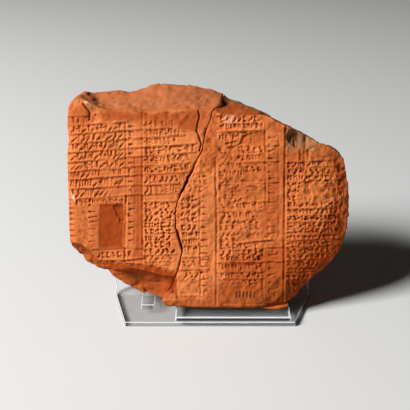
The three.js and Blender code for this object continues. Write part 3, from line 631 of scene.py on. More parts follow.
# %% Rows below and on the right piece
# Start, end, height of the strokes, width of a group, style, depth.
ROWS = [
    ((76, 203.4), (99, 202.4), 5, 3.6, "fine", 0.55),
    ((100, 201.6), (122, 200.6), 4, 4.2, "dense", 0.5),
    ((98, 255.4), (134, 253.6), 5.4, 4.2, "dense", 0.6), ((181, 176), (208, 174), 5, 5, "bold", 0.45),
    ((180, 184.6), (209, 182.4), 5, 4.4, "dense", 0.5),
    ((221, 119.6), (262, 118.6), 5, 4.6, "dense", 0.55), ((221, 127), (262, 126), 5, 3.4, "fine", 0.6),
    ((220, 138), (240, 137), 6, 4.2, "dense", 0.6), ((226, 144), (238, 143), 4, 3.4, "fine", 0.6),
    ((238, 151), (263, 150), 5.6, 4.2, "dense", 0.6), ((238, 158), (263, 157), 4.6, 4.2, "dense", 0.6),
    ((241, 169.6), (263, 168.6), 5, 4.4, "dense", 0.6), ((220, 194), (240, 193), 5, 5, "bold", 0.45),
    ((221, 206.6), (262, 205.6), 5.4, 4.6, "dense", 0.5),
    ((222, 216), (262, 215), 5.4, 4.6, "dense", 0.5), ((221, 228), (262, 227), 5, 4.6, "dense", 0.45),
    ((221, 236), (262, 235), 5, 4.6, "dense", 0.4), ((221, 253.4), (262, 252.6), 6, 4.8, "dense", 0.6),
    ((221, 246.6), (243, 246), 5, 4.8, "bold", 0.5),
    ((222, 267.4), (262, 266.8), 5.6, 2.9, "fine", 0.65),
    ((221, 275.8), (262, 275.2), 4.6, 4.2, "dense", 0.6),
    ((221, 283), (260, 282), 4.4, 4.4, "bold", 0.5), ((286, 156), (298, 155), 5, 5, "bar", 0.4),
    ((184, 275.6), (199, 275), 6, 4.4, "bold", 0.55), ((183, 264), (200, 263.4), 6, 5, "bold", 0.35),
    ((76, 111.4), (88, 110.4), 6, 3.4, "fine", 0.6), ((92, 119.6), (104, 119), 5, 4.4, "dense", 0.5),
    ((219, 152), (236, 151), 5, 4.4, "dense", 0.45), ((219, 158.6), (236, 158), 5, 4.4, "bold", 0.4),
    ((220, 174), (243, 173.4), 5, 4.6, "dense", 0.6), ((220, 181), (242, 180.4), 5, 4.8, "bold", 0.6),
    ((219, 187.6), (243, 187), 5, 4.8, "dense", 0.6), ((219, 200.6), (243, 200), 5, 4.6, "dense", 0.5),
    ((221, 222.2), (262, 221.6), 5, 4.8, "dense", 0.45),
    ((221, 241.4), (243, 241), 4.6, 4.6, "dense", 0.5),
    ((221, 259), (262, 258.4), 5, 4.6, "dense", 0.55),
    ((244, 247), (262, 246.4), 4.6, 4.6, "dense", 0.5), ((302, 156), (338, 154), 5, 5.0, "dense", 0.35),
    ((288, 165), (338, 163), 4.4, 4.4, "dense", 0.55), ((204, 172), (214, 171), 5, 4.6, "bold", 0.3),
    ((180, 190), (209, 189), 5, 4.4, "dense", 0.5), ((183, 252), (200, 251.6), 5, 4.6, "dense", 0.45),
    ((183, 281), (200, 280), 4, 4.6, "bold", 0.3), ((97, 264), (140, 262), 4, 4.6, "bold", 0.4),
    ((146, 265), (172, 264), 5, 5, "bold", 0.6), ((222, 113), (262, 113), 4, 4.6, "bold", 0.3),
    ((204, 290), (215, 290), 5, 5, "bold", 0.4), ((219, 166), (240, 165.4), 5, 4.8, "dense", 0.6),
    ((219, 194), (262, 193), 5, 4.8, "bold", 0.3), ((269, 254), (280, 253), 5, 5, "bold", 0.4),
    ((268, 290), (281, 289), 5, 5, "bold", 0.5),
]
for start, end, tall, cell, style, depth in ROWS:
    write_row(start, end, tall, cell, style, depth)
print(len(strokes), "strokes with", len(ROWS), "more rows")

# %% Narrow columns filled from top to foot
# Second column of the left piece.
for y in np.arange(205.6, 262, 6.6):
    write_row((145, y), (154, y - 0.3), 4.6, 4.2, "dense", 0.75)
    write_row((155.4, y - 0.3), (174.5, y - 0.8), 5.0, 4.6, "bold", 0.9)
# Its other half, across the break.
for y in np.arange(199, 250, 7.2):
    write_row((182, y), (199, y - 0.6), 5.4, 5.0, "bold" if y < 232 else "fine", 0.65)
# Single wedges down the margins: both ends, rise, heights of the rows in the picture,
# height of a stroke, width of a group and depth.
MARGINS = [
    ((202, 209), 0.2, np.arange(201, 292, 6.5), 4, 6, 0.55),
    ((269, 277.5), 0.4, np.arange(137.4, 296, 6.9), 4, 6.5, 0.45),
    ((129.5, 135), 0, np.arange(203.4, 244, 6.2), 4, 5, 0.6),
    ((70.5, 77), 0, np.arange(208, 240, 5.6), 3.4, 6, 0.65),
    ((89.4, 97), 0, (211.6, 217, 222.6, 229, 235.4, 241.8), 3.4, 8, 0.6),
]
for (left, right), rise, heights, tall, cell, depth in MARGINS:
    for y in heights:
        write_row((left, y), (right, y - rise), tall, cell, "bar", depth)
# Last column, as wide as the worn edge leaves it.
for y in np.arange(172, 292, 6.6):
    right = np.interp(y, [172, 230, 292], [346, 342, 304])
    write_row((288, y), (right, y - 1.5), 4.6, 4.6, "dense", 0.6)
press(strokes)
print(len(strokes), "strokes pressed")

# %% [markdown]
# ## Worn, smoothed and broken places
#
# Time has rubbed parts of the writing away and flaked off others. Wear weakens the
# strokes where its mask is strong. Flakes lower the face behind a ragged step, and
# a few panels were left blank and smooth by the scribe. Each is a patch whose ring
# of points was read off the picture.

# %% Wear and blank panels
# Wear weakens strokes, line wear the ruled lines; rough places get more of the grain.
WORN_STROKES, WORN_LINES = 0.5, 0.4  # how much the general wear takes at most
worn_clouds = smooth_step(0.25, 0.9, layered_noise(map_points, 16, 40))
wear = worn_clouds * WORN_STROKES
line_wear = worn_clouds * WORN_LINES
rough = np.zeros(map_a.shape)
# Rings of picture points.
BLANK = [
    [(100, 205), (122, 205), (123.6, 247.6), (99, 247.6)],
    [(135, 112), (141, 112), (141, 262), (135, 262)],
    [(209, 180), (215, 180), (215.5, 300), (209.5, 300)],
    [(279, 134), (283.4, 134), (282.6, 296), (278.4, 296)],
    [(175, 136), (184, 133), (196, 133), (197, 143), (176, 145)],
    [(100, 171.6), (114, 170.8), (114, 176), (101, 176.6)],
    [(112, 188), (124, 187), (124, 195), (109, 196)],
    [(183, 119), (198, 114), (198, 131), (182, 132)],
    [(244, 134), (264, 132.6), (264, 144.6), (238, 145)],
    [(247, 173), (263, 171), (264, 182), (246, 183)],
    [(247, 191), (263, 190), (263, 200.6), (248, 201)],
    [(226, 286), (240, 284), (258, 286), (262, 304), (224, 305)],
    [(176, 281), (199, 281), (200, 295), (174, 295)],
    [(288, 151), (298, 151), (298, 160), (288, 160)],
    [(302, 151), (340, 150), (340, 158), (302, 160)],
    [(182, 250), (200, 250), (200, 256), (182, 256)],
]
for number, places in enumerate(BLANK):
    spot, mask = patch(*places, ragged=0.35, edge=0.5, seed=100 + number)
    wear[spot] = np.maximum(wear[spot], mask)
print(len(BLANK), "blank places, mean wear", wear.mean().round(2))

# %% Rubbed places
# Ring, and how much of the strokes and lines is gone.
RUBBED = [
    ([(96, 112), (112, 112), (113, 126), (100, 124)], 0.9),
    ([(146, 112), (200, 110), (200, 119), (146, 121)], 0.85),
    ([(203, 112), (216, 112), (216, 172), (196, 176)], 0.85),
    ([(219, 150), (238, 148), (242, 200), (220, 204)], 0.45),
    ([(300, 182), (338, 182), (336, 202), (298, 204)], 0.7),
    ([(236, 224), (262, 222), (264, 240), (238, 242)], 0.55),
    ([(78, 212), (88, 216), (88, 246), (78, 246)], 0.9),
    ([(146, 259), (174, 256), (174, 270), (144, 268)], 0.5),
    ([(66, 96), (84, 92), (108, 108), (112, 120), (92, 124), (66, 112)], 0.75),
    ([(114, 205), (125, 204), (125, 222), (118, 223)], 1.0),
    ([(80, 252), (99, 262), (143, 264), (176, 272), (176, 290), (100, 280)], 1.0),
    ([(320, 150), (345, 160), (346, 200), (338, 200)], 0.6),
    ([(270, 280), (282, 280), (282, 304), (266, 304)], 0.6),
]
for number, (places, share) in enumerate(RUBBED):
    spot, mask = patch(*places, ragged=1.2, edge=1.5, seed=130 + number)
    wear[spot] = np.maximum(wear[spot], mask * share)
    line_wear[spot] = np.maximum(line_wear[spot], mask * share)
    rough[spot] = np.maximum(rough[spot], mask * share)
print(len(RUBBED), "rubbed places, mean wear", wear.mean().round(2))

# %% Flakes and pits
lowered = np.zeros(map_a.shape)
# Flakes and sunk panels: ring, depth, raggedness, half width of the step.
FLAKED = [
    ([(100, 205), (124, 204.6), (124.6, 248.4), (99, 248.4)], 0.4, 0.2, 1.1),
    ([(115, 205), (124.6, 204), (124.6, 221), (119, 223), (116, 214)], 0.6, 1.2, 0.4),
    ([(70, 204), (78, 210), (88, 214), (90, 246), (70, 243)], 0.45, 0.6, 0.8),
    ([(243, 136), (248, 133.6), (262, 131.6), (266, 132), (266, 146), (236, 148), (230, 149),
      (227, 147.6), (238, 145.6)], 0.6, 0.25, 0.3),
    ([(66, 245), (78, 250), (90, 255), (99, 262), (143, 264), (160, 268), (178, 272), (178, 300),
      (90, 290)], 0.7, 0.9, 0.3),
    ([(187, 113), (199, 111), (199, 133), (182, 133), (183, 122)], 0.25, 1.2, 1.4),
    ([(245, 172), (264, 170), (264, 183), (244, 183.4)], 0.3, 0.4, 0.6),
    ([(246, 190), (264, 189), (264, 201.4), (247, 202)], 0.35, 0.4, 0.6),
    ([(173, 281), (200, 280.6), (201, 296.4), (172, 296.4)], 0.3, 0.15, 0.4),
    ([(222, 286), (240, 283), (258, 285), (263, 306), (222, 306)], 0.3, 0.9, 1.2),
    ([(286, 128), (290, 131), (290, 146), (286, 148)], 0.6, 0.5, 0.4),
]
for number, (places, depth, ragged, edge) in enumerate(FLAKED):
    spot, mask = patch(*places, ragged=ragged, edge=edge, grain=3.0, seed=160 + number)
    lowered[spot] += depth * mask
# Small pits: picture point, radius in millimetres, depth.
PITS = [
    (90, 200, 1.0, 0.9), (89.6, 205.4, 1.1, 0.9), (89, 218, 0.9, 0.7), (128.6, 215.4, 1.5, 0.8),
    (96, 115, 0.7, 0.6), (291, 176, 1.2, 0.6), (335, 191, 2.2, 0.6), (341, 194, 1.6, 0.7),
    (243, 181, 1.6, 0.7), (201.6, 273, 1.2, 0.8), (267.6, 229, 0.8, 0.6), (225, 171, 1.3, 0.5),
    (232, 199, 1.2, 0.6), (223, 176, 0.9, 0.6),
]
for x, y, radius, depth in PITS:
    a, b = on_face(x, y)
    away = np.hypot(map_a - a, map_b - b) + 0.25 * lattice_noise(map_points, 1.2, 9)
    lowered += depth * smooth_step(1, 0.2, away / radius)
print(len(FLAKED), "flakes and", len(PITS), "pits, down to", lowered.max().round(2), "mm")

# %% [markdown]
# ## Cracks and crumbled edges
#
# The break did not only part the clay, it crumbled its edges, more where the gap is
# wide. A second crack runs down from the top edge beside it. The edge of the chip
# and the rim of the face have lost grains as well, but those belong to the outline
# and come later, with the skin.

# %% Crumbled edges of the break
crumbled = np.zeros(map_a.shape)
line_across = break_across(map_b, face_depth(map_a, map_b), 0)
from_break = np.abs(map_a - line_across)
# Width and depth of the crumbled strip: mean, how much it varies, growth with the gap, least.
STRIP_WIDTH, STRIP_VARIES, STRIP_GROWS, LEAST_STRIP = 1.2, 0.9, 0.6, 0.4
LOSS_DEPTH, LOSS_VARIES, LOSS_GROWS, LEAST_LOSS = 0.5, 0.45, 0.5, 0.12
LOSS_FALL = 1.3
wider = break_gap(map_b) - BREAK_GAP
up_the_break = layered_noise(np.stack([map_b, 0 * map_b], -1), 9.0, 51)
strip = np.maximum(STRIP_WIDTH + STRIP_VARIES * up_the_break + STRIP_GROWS * wider, LEAST_STRIP)
up_the_break = layered_noise(np.stack([map_b, 0 * map_b + 5], -1), 6.0, 53)
loss = np.maximum(LOSS_DEPTH + LOSS_VARIES * up_the_break + LOSS_GROWS * wider, LEAST_LOSS)
crumbled += loss * np.clip(1 - from_break / strip, 0, 1) ** LOSS_FALL
print("the break's edges lost up to", crumbled.max().round(2), "mm")

# %% Cracks
# Picture points, width and depth in millimetres.
CRACKS = [
    ([(198.4, 109), (199.2, 117), (197.4, 125), (196.8, 131), (199.4, 138), (201.2, 144),
      (199.6, 151)], 1.0, 2.4),
    ([(83, 104), (88, 109.6), (89.8, 113), (89.2, 120)], 1.5, 1.5),
    ([(97, 102), (104, 107)], 0.9, 0.7),
    ([(95, 104), (101, 108.6)], 0.8, 0.6),
    ([(283, 262), (300, 260)], 0.8, 0.6),
    ([(133, 110), (140, 112.6), (147, 114)], 0.9, 0.8),
    ([(267, 297), (267.4, 303), (268.6, 309)], 0.7, 0.8),
    ([(262, 130.4), (256, 132.6), (247, 135), (243, 140), (238, 145.6), (228, 147.6)], 0.9, 0.45),
    ([(251.4, 133), (251.6, 140.6)], 0.9, 0.5),
    ([(296.6, 170), (291, 180)], 1.4, 0.7),
    ([(100.6, 138), (102, 147)], 0.7, 0.4),
    ([(202.8, 268), (204.6, 280)], 0.8, 0.5),
    ([(70, 203.4), (78, 209.6), (88, 213)], 0.8, 0.35),
    ([(266, 270), (262, 280), (264, 296)], 0.8, 0.3),
]
for number, (places, width, depth) in enumerate(CRACKS):
    spot, signed = beside_line(seen(*places), 2)
    away = np.abs(signed + 0.2 * lattice_noise(map_points[spot], 2.0, 60 + number))
    crumbled[spot] = np.maximum(crumbled[spot], depth * np.clip(1 - away / (width / 2), 0, 1))
print(len(CRACKS), "cracks on the face")

# %% [markdown]
# ## The relief put together
#
# Last come the small unevennesses of a hand-shaped face: slow swells, finger marks
# and grain. The strokes are weakened by the wear, and each stroke lifts the clay
# just outside it, which is found by taking a little of the softened strokes away.

# %% Unevenness of the clay
# Each is a depth in millimetres times noise whose first number is its width in millimetres.
swell = 0.4 * layered_noise(map_points, 20, 70, 2) + 0.2 * layered_noise(map_points, 6, 74, 2)
grain = 0.05 * layered_noise(map_points, 1.6, 77, 2)
weathering = 0.24 * layered_noise(map_points, 3.2, 80, 3)
on_right = smooth_step(-0.5, 0.5, map_a - line_across)
from_right = np.interp(map_b, RIGHT_EDGE[:, 1], RIGHT_EDGE[:, 0]) - map_a
near_right = smooth_step(15, 3, from_right)
lumps = 0.55 * layered_noise(map_points, 4.6, 83, 3) * near_right
print("swells", swell.std().round(2), "mm, lumps", lumps[near_right > 0.5].std().round(2), "mm")

# %% Strokes after wear
STROKE_STRENGTH, STROKE_STRENGTH_RIGHT = 2.4, 0.5
PRESS_SOFTNESS, BANK_REACH, BANK_SHARE = 0.2, 1.2, 0.95
strokes_left = (STROKE_STRENGTH + STROKE_STRENGTH_RIGHT * on_right) * pressed * (1 - wear)
strokes_left = soften(strokes_left, PRESS_SOFTNESS) - BANK_SHARE * soften(strokes_left, BANK_REACH)
written = np.clip(soften(pressed, BANK_REACH) / 0.25, 0, 1)
# Creases run level through the writing; chewed is the uneven clay between the strokes.
creased = 0.32 * layered_noise(map_points * [0.42, 1], 2.6, 88, 2) * (0.35 + 0.65 * on_right)
chewed = (written * (1 - 0.6 * wear) * (0.25 + 0.1 * on_right)
          * layered_noise(map_points, 2.2, 86, 2))
print("written on", round(100 * written.mean()), "of 100 parts of the map")

# %% Sum of the marks
relief = (swell + grain * (1 - 0.7 * wear) + weathering * (0.65 + rough + 0.75 * on_right)
          + lowered + crumbled + lumps + ruled * (1 - 0.75 * line_wear) + strokes_left + chewed
          + creased * (0.15 + 0.85 * written))
print("relief from", relief.min().round(2), "to", relief.max().round(2), "mm")

# %% [markdown]
# ## Building one piece of the tablet
#
# A piece is one closed skin in three parts. The face is a patch stretched between
# four curved sides, the Coons way: the mean of the two pairs of sides, less the
# corners counted twice. The edge is a band of rings that leads from the face out to
# the widest outline and on to the back. The back is a second patch. The face needs
# the finest mesh, so the band has half as many points round it and the back a
# quarter; where they meet, three triangles take up each step.

# %% Outline of the left piece
# Points are hundredths of the tablet's width and height, for the widest outline with its
# depth. A profile's numbers: power of the way outward, power of the way backward, how far
# the back's rim lies inward in millimetres, and power of the way from the widest outline.
# The rim moves toward the middle; the steps are those of the face mesh.
LEFT_PIECE = {
    "side": -1,
    "face_bottom": [[-49.1, 30.6], [-46.1, 30.6], [-42.7, 27.9], [-39.6, 23.6], [-35.8, 19.3],
                    [-31.6, 18.6], [-27.4, 19.1], [-20.4, 17.5], [-16.5, 16.1]],
    "face_top": [[-48.0, 88.9], [-46.4, 91.6], [-43.9, 93.2], [-41.4, 91.9], [-36.9, 89.2],
                 [-33.2, 87.9], [-26.1, 88.1], [-21.7, 87.0], [-12.9, 87.9], [-1.7, 88.2]],
    "face_outer": [[-49.1, 30.6], [-49.0, 50], [-48.9, 69.5], [-48.3, 75.8], [-48.6, 82],
                   [-48.0, 88.9]],
    "face_break": [15.7, 88.2],
    "wide_bottom": [[-49.9, 27.5, 35], [-48.6, 25.0, 38], [-43.0, 18.3, 41],
                    [-39.4, 15.6, 41], [-37.2, 14.8, 41], [-33.3, 10.5, 41],
                    [-25.4, 5.1, 41], [-21.8, 4.5, 41]],
    "wide_top": [[-48.9, 90.6, 30], [-47.2, 94.3, 44], [-43.7, 96.4, 66], [-40.6, 96.0, 79],
                 [-32.0, 97.7, 79], [-28.8, 96.9, 79], [-24.9, 97.8, 79], [-21.3, 99.5, 79],
                 [-12.0, 100, 79], [-3.5, 98.8, 79], [2.9, 96.2, 79]],
    "wide_outer": [[-49.9, 27.5, 35], [-50, 33, 35], [-49.8, 50, 35], [-49.7, 70.5, 35],
                   [-49.0, 76, 35], [-49.3, 82, 35], [-48.9, 90.6, 30]],
    "wide_break": [[2.3, 41], [94.9, 79]],
    "profiles": {"bottom": [1, 0.6, 5, 2], "right": [1, 1, 5, 2], "top": [1, 1.05, 5, 2],
                 "left": [2, 1.5, 5, 2]},
    "middle": [-22, 56],
    "steps": (228, 300),
}
print("left piece: face mesh of", LEFT_PIECE["steps"], "steps")

# %% Outline of the right piece
RIGHT_PIECE = {
    "side": 1,
    "face_bottom": [[-15.0, 2.7], [-12.0, 2.0], [0, 1.4], [20, 1.2], [26.9, 1.9]],
    "face_top": [[1.6, 87.8], [4.0, 86.6], [11.8, 86.0], [19.0, 86.0], [22.4, 83.7],
                 [30.0, 79.2], [37.0, 74.6], [43.1, 71.1], [45.6, 67.8], [46.7, 65.4]],
    "face_outer": [[26.9, 1.9], [30.2, 5.9], [36.0, 13.6], [41.7, 19.4], [46.1, 27.9],
                   [48.2, 38.8], [48.4, 45.4], [48.1, 53], [47.5, 60], [46.7, 65.4]],
    "face_break": [4.6, 87.9],
    "wide_bottom": [[-15.7, 1.2, 12], [-12.1, 0.7, 12], [-7.1, 0.2, 12], [0.1, 0, 12],
                    [19.7, 0, 12], [25.1, 0.1, 13], [28.2, 0.8, 18]],
    "wide_top": [[7.2, 92.9, 79], [10.1, 92.0, 79], [18.0, 87.8, 79], [25.2, 82.9, 76],
                 [32.8, 78.4, 62], [38.3, 74.4, 50], [39.4, 73.6, 44], [41.8, 73.1, 40],
                 [44.7, 71.0, 34], [46.5, 68.3, 34], [47.9, 64.4, 38]],
    "wide_outer": [[28.2, 0.8, 18], [31.6, 4.2, 38], [34.3, 8.4, 41], [39.6, 15.5, 41],
                   [45.6, 22.7, 41], [49.1, 32.6, 41], [50.0, 45.4, 41], [49.7, 51.7, 41],
                   [49.0, 58.5, 41], [47.9, 64.4, 38]],
    "wide_break": [[3.3, 12], [94.5, 79]],
    "profiles": {"bottom": [2, 1.5, 10, 1], "right": [2, 1.5, 5, 1.3], "top": [1.2, 1, 5, 2],
                 "left": [1, 1, 5, 2]},
    "middle": [18, 45],
    "steps": (224, 304),
}
print("right piece: face mesh of", RIGHT_PIECE["steps"], "steps")


# %% Patch between four sides
def coons_patch(bottom, right, top, left):
    """Mean of both pairs of sides, minus the blend of the four corners."""
    u = np.linspace(0, 1, len(bottom))[None, :, None]
    v = np.linspace(0, 1, len(left))[:, None, None]
    across_blend = bottom[None] * (1 - v) + top[None] * v
    up_blend = left[:, None] * (1 - u) + right[:, None] * u
    corners = ((bottom[0] * (1 - u) + bottom[-1] * u) * (1 - v)
               + (top[0] * (1 - u) + top[-1] * u) * v)
    return across_blend + up_blend - corners


def walk_round(bottom, right, top, left):
    """The four sides as one closed walk, counter-clockwise seen from the front."""
    return np.concatenate([bottom[:-1], right[:-1], top[:0:-1], left[:0:-1]])


def sides_of(walk, across_steps, up_steps):
    """A closed walk taken apart again into bottom, right, top and left."""
    closed = np.concatenate([walk, walk[:1]])
    first = across_steps
    second = first + up_steps
    third = second + across_steps
    return (closed[:first + 1], closed[first:second + 1], closed[second:third + 1][::-1],
            closed[third:][::-1])


unit = np.array([[0, 0], [0.5, 0], [1, 0]])
lifted = coons_patch(unit, unit[:, ::-1] + [1, 0], unit + [0, 1], unit[:, ::-1])
print("middle of a patch on a square:", lifted[1, 1])


# %% Sides of the face
def face_break_side(piece, steps):
    """Even points up the break, each at the face's depth there."""
    low, high = np.array(piece["face_break"]) * TABLET_HEIGHT / 100
    b = np.linspace(low, high, 400)
    a = break_across(b, np.zeros(400), piece["side"])
    for _ in range(2):
        a = break_across(b, face_depth(a, b), piece["side"])
    return even_points(np.stack([a, b], 1)[::8].tolist() + [[a[-1], b[-1]]], steps)


def in_order(piece, outline, steps, inner):
    """Bottom, right, top and left; bottom and top run on to the ends of the break."""
    bottom = in_millimetres(piece[outline + "_bottom"])
    top = in_millimetres(piece[outline + "_top"])
    outer = even_points(in_millimetres(piece[outline + "_outer"]), steps[1])
    if piece["side"] < 0:
        return (even_points(np.vstack([bottom, inner[:1]]), steps[0]), inner,
                even_points(np.vstack([top, inner[-1:]]), steps[0]), outer)
    return (even_points(np.vstack([inner[:1], bottom]), steps[0]), outer,
            even_points(np.vstack([inner[-1:], top]), steps[0]), inner)


def face_sides(piece, steps):
    """Four sides of the face patch; the break takes the place of the inner side."""
    inner = face_break_side(piece, steps[1])
    return in_order(piece, "face", steps, inner)


print("the break starts on the left face at", face_sides(LEFT_PIECE, (8, 8))[1][0].round(1), "mm")


# %% Widest outline
def wide_sides(piece, steps, inner_share):
    """Four sides of the widest outline, with depths; the break side runs between its ends."""
    ends = np.array(piece["wide_break"]) * [TABLET_HEIGHT, TABLET_DEPTH] / 100
    run = ends[0] + inner_share[:, None] * (ends[1] - ends[0])
    inner = np.column_stack([break_across(run[:, 0], run[:, 1], piece["side"]), run])
    return in_order(piece, "wide", steps, inner)


print("widest point of the left piece, mm:",
      wide_sides(LEFT_PIECE, (8, 8), np.linspace(0, 1, 9))[3][:, 0].min().round(1))

# %% Edge numbers round the piece
CORNER_EASE = 0.15  # share of a side over which its numbers turn into its neighbour's


def walk_profiles(piece, steps):
    """Edge numbers round the walk, each side's eased into its neighbours' at the corners."""
    own = piece["profiles"]
    order = [("bottom", steps[0], "left", "right"), ("right", steps[1], "bottom", "top"),
             ("top", steps[0], "right", "left"), ("left", steps[1], "top", "bottom")]
    rows = []
    for name, count, before, after in order:
        t = np.arange(count)[:, None] / count
        mine, last, coming = (np.array(own[key], float) for key in (name, before, after))
        rows.append(mine + (last - mine) * np.clip(1 - t / CORNER_EASE, 0, 1) / 2
                    + (coming - mine) * np.clip(1 - (1 - t) / CORNER_EASE, 0, 1) / 2)
    return np.vstack(rows)


print("edge numbers at", len(walk_profiles(LEFT_PIECE, (8, 8))), "places round a coarse walk")


# %% Joining grids and rings
def grid_ids(rows, columns, first):
    """Vertex numbers of a grid, row by row."""
    return first + np.arange(rows * columns).reshape(rows, columns)


def round_ids(ids):
    """Vertex numbers once round a grid's border, as the walk goes."""
    return np.concatenate([ids[0, :-1], ids[:-1, -1], ids[-1, :0:-1], ids[:0:-1, 0]])


def ring_triangles(near, far):
    """Two triangles for each step between two rings with as many points."""
    near_next, far_next = np.roll(near, -1), np.roll(far, -1)
    return np.vstack([np.stack([near, far, near_next], 1),
                      np.stack([near_next, far, far_next], 1)])


def step_triangles(fine, coarse):
    """Three triangles for each two steps of a fine ring and one of a coarse one."""
    start, middle, end = fine[::2], fine[1::2], np.roll(fine[::2], -1)
    coarse_next = np.roll(coarse, -1)
    return np.vstack([np.stack([start, coarse, middle], 1),
                      np.stack([middle, coarse, coarse_next], 1),
                      np.stack([middle, coarse_next, end], 1)])


print("a grid of 3 by 4 has", len(round_ids(grid_ids(3, 4, 0))), "places round it")


# %% Face of one piece
def face_points(piece):
    """Face patch as a, b and depth: face depth plus relief, its inner column on the break."""
    face = coons_patch(*face_sides(piece, piece["steps"]))
    a, b = face[..., 0], face[..., 1]
    d = face_depth(a, b) + read_map(relief, a, b)
    column = -1 if piece["side"] < 0 else 0
    a[:, column] = break_across(b[:, column], d[:, column], piece["side"])
    return np.stack([a, b, d], -1)


left_depths = face_points(LEFT_PIECE)[..., 2]
print("left face: depths from", left_depths.min().round(1), "to", left_depths.max().round(1), "mm")

# %% Edge of one piece
EDGE_RINGS, BACK_EDGE_RINGS = 24, 8
THINNEST_EDGE = 1.0  # the back's rim lies at least this far behind the widest outline


def break_places(piece, half):
    """Numbers round the walk that lie on the break, from its foot upward."""
    corner = half[0] if piece["side"] < 0 else 2 * half[0] + half[1]
    numbers = np.arange(corner, corner + half[1] + 1) % (2 * (half[0] + half[1]))
    return numbers if piece["side"] < 0 else numbers[::-1]


def rim_of_back(piece, widest, profile, on_break, inner_share):
    """Widest outline moved toward the piece's middle, at the back's depth."""
    inward = in_millimetres([piece["middle"]])[0] - widest[:, :2]
    inward *= profile[:, 2:3] / np.linalg.norm(inward, axis=1, keepdims=True)
    rim = widest.copy()
    rim[:, :2] += inward
    rim[:, 2] = np.maximum(widest[:, 2] + THINNEST_EDGE, back_depth(*rim[:, :2].T))
    low, high = rim[on_break[[0, -1]], 1]
    rim[on_break, 1] = low + inner_share * (high - low)
    for _ in range(3):
        rim[on_break, 2] = back_depth(*rim[on_break, :2].T)
        rim[on_break, 0] = break_across(*rim[on_break, 1:].T, piece["side"])
    return rim


def edge_rings(start, widest, rim, profile):
    """Rings from face to widest outline, then on to the rim, each by its powers of t."""
    rings = []
    for k in range(1, EDGE_RINGS + 1):
        t = k / EDGE_RINGS
        out = 1 - (1 - t) ** profile[:, 0:1]
        rings.append(start + (widest - start) * np.hstack([out, out, t ** profile[:, 1:2]]))
    for k in range(1, BACK_EDGE_RINGS):
        t = k / BACK_EDGE_RINGS
        power = profile[:, 3:4]
        share = np.hstack([t ** power, t ** power, 1 - (1 - t) ** power])
        rings.append(widest + (rim - widest) * share)
    return np.array(rings)


print(EDGE_RINGS + BACK_EDGE_RINGS - 1, "rings between face and back")


# %% Closed skin of one piece
def piece_skin(piece):
    """Face patch, rings of the edge and back patch, joined into one closed skin."""
    fine = piece["steps"]
    half, quarter = (fine[0] // 2, fine[1] // 2), (fine[0] // 4, fine[1] // 4)
    face = face_points(piece).reshape(-1, 3)
    border = round_ids(grid_ids(fine[1] + 1, fine[0] + 1, 0))
    start = face[border][::2]
    inner = sides_of(start, *half)[1 if piece["side"] < 0 else 3][:, 1]
    inner_share = (inner - inner[0]) / (inner[-1] - inner[0])
    widest = walk_round(*wide_sides(piece, half, inner_share))
    profile = walk_profiles(piece, half)
    on_break = break_places(piece, half)
    rim = rim_of_back(piece, widest, profile, on_break, inner_share)
    rings = edge_rings(start, widest, rim, profile)
    rings[:, on_break, 0] = break_across(rings[:, on_break, 1], rings[:, on_break, 2],
                                         piece["side"])
    back = coons_patch(*sides_of(rim[::2], *quarter))
    back[1:-1, 1:-1, 2] = back_depth(back[1:-1, 1:-1, 0], back[1:-1, 1:-1, 1])

    face_ids = grid_ids(fine[1] + 1, fine[0] + 1, 0)
    ring_ids = grid_ids(len(rings), len(start), face_ids.size)
    back_ids = grid_ids(quarter[1] + 1, quarter[0] + 1, face_ids.size + ring_ids.size)
    quads = np.stack([face_ids[:-1, :-1], face_ids[:-1, 1:], face_ids[1:, 1:],
                      face_ids[1:, :-1]], -1).reshape(-1, 4)
    back_quads = np.stack([back_ids[:-1, :-1], back_ids[1:, :-1], back_ids[1:, 1:],
                           back_ids[:-1, 1:]], -1).reshape(-1, 4)
    triangles = [step_triangles(border, ring_ids[0]),
                 step_triangles(ring_ids[-1], round_ids(back_ids))]
    triangles += [ring_triangles(near, far) for near, far in zip(ring_ids[:-1], ring_ids[1:])]
    return {"points": np.vstack([face, rings.reshape(-1, 3), back.reshape(-1, 3)]),
            "quads": np.vstack([quads, back_quads]), "triangles": np.vstack(triangles),
            "ring_ids": ring_ids, "back_ids": back_ids, "on_break": on_break}


left_skin = piece_skin(LEFT_PIECE)
right_skin = piece_skin(RIGHT_PIECE)
for name, skin in (("left", left_skin), ("right", right_skin)):
    print(name, "piece:", 2 * len(skin["quads"]) + len(skin["triangles"]), "triangles")

# %% [markdown]
# ## Broken sides made rough
#
# Where clay has broken it is never smooth, and each side broke in its own way: the
# top is coarse and pitted, the lower left corner came off in a few big shells, and
# the old outer edges are only worn. Roughness is cut into the skin along its own
# outward direction, and only ever inward, so that it adds nothing outside the skin.
# It starts from nothing at the rim of the face, where the relief takes over.

# %% Outward directions
def outward_directions(skin):
    """Sum of the cross products of the faces round each vertex, made one long."""
    handed = skin["points"] * [1, 1, -1]
    total = np.zeros(handed.shape)
    quads, triangles = skin["quads"], skin["triangles"]
    for corners in (quads[:, [0, 1, 2]], quads[:, [0, 2, 3]], triangles):
        p = handed[corners]
        across = np.cross(p[:, 1] - p[:, 0], p[:, 2] - p[:, 0])
        for k in range(3):
            np.add.at(total, corners[:, k], across)
    total /= np.maximum(np.linalg.norm(total, axis=1, keepdims=True), 1e-12)
    return total * [1, 1, -1]


print("the left face looks toward", outward_directions(left_skin)[:9000].mean(0).round(2))


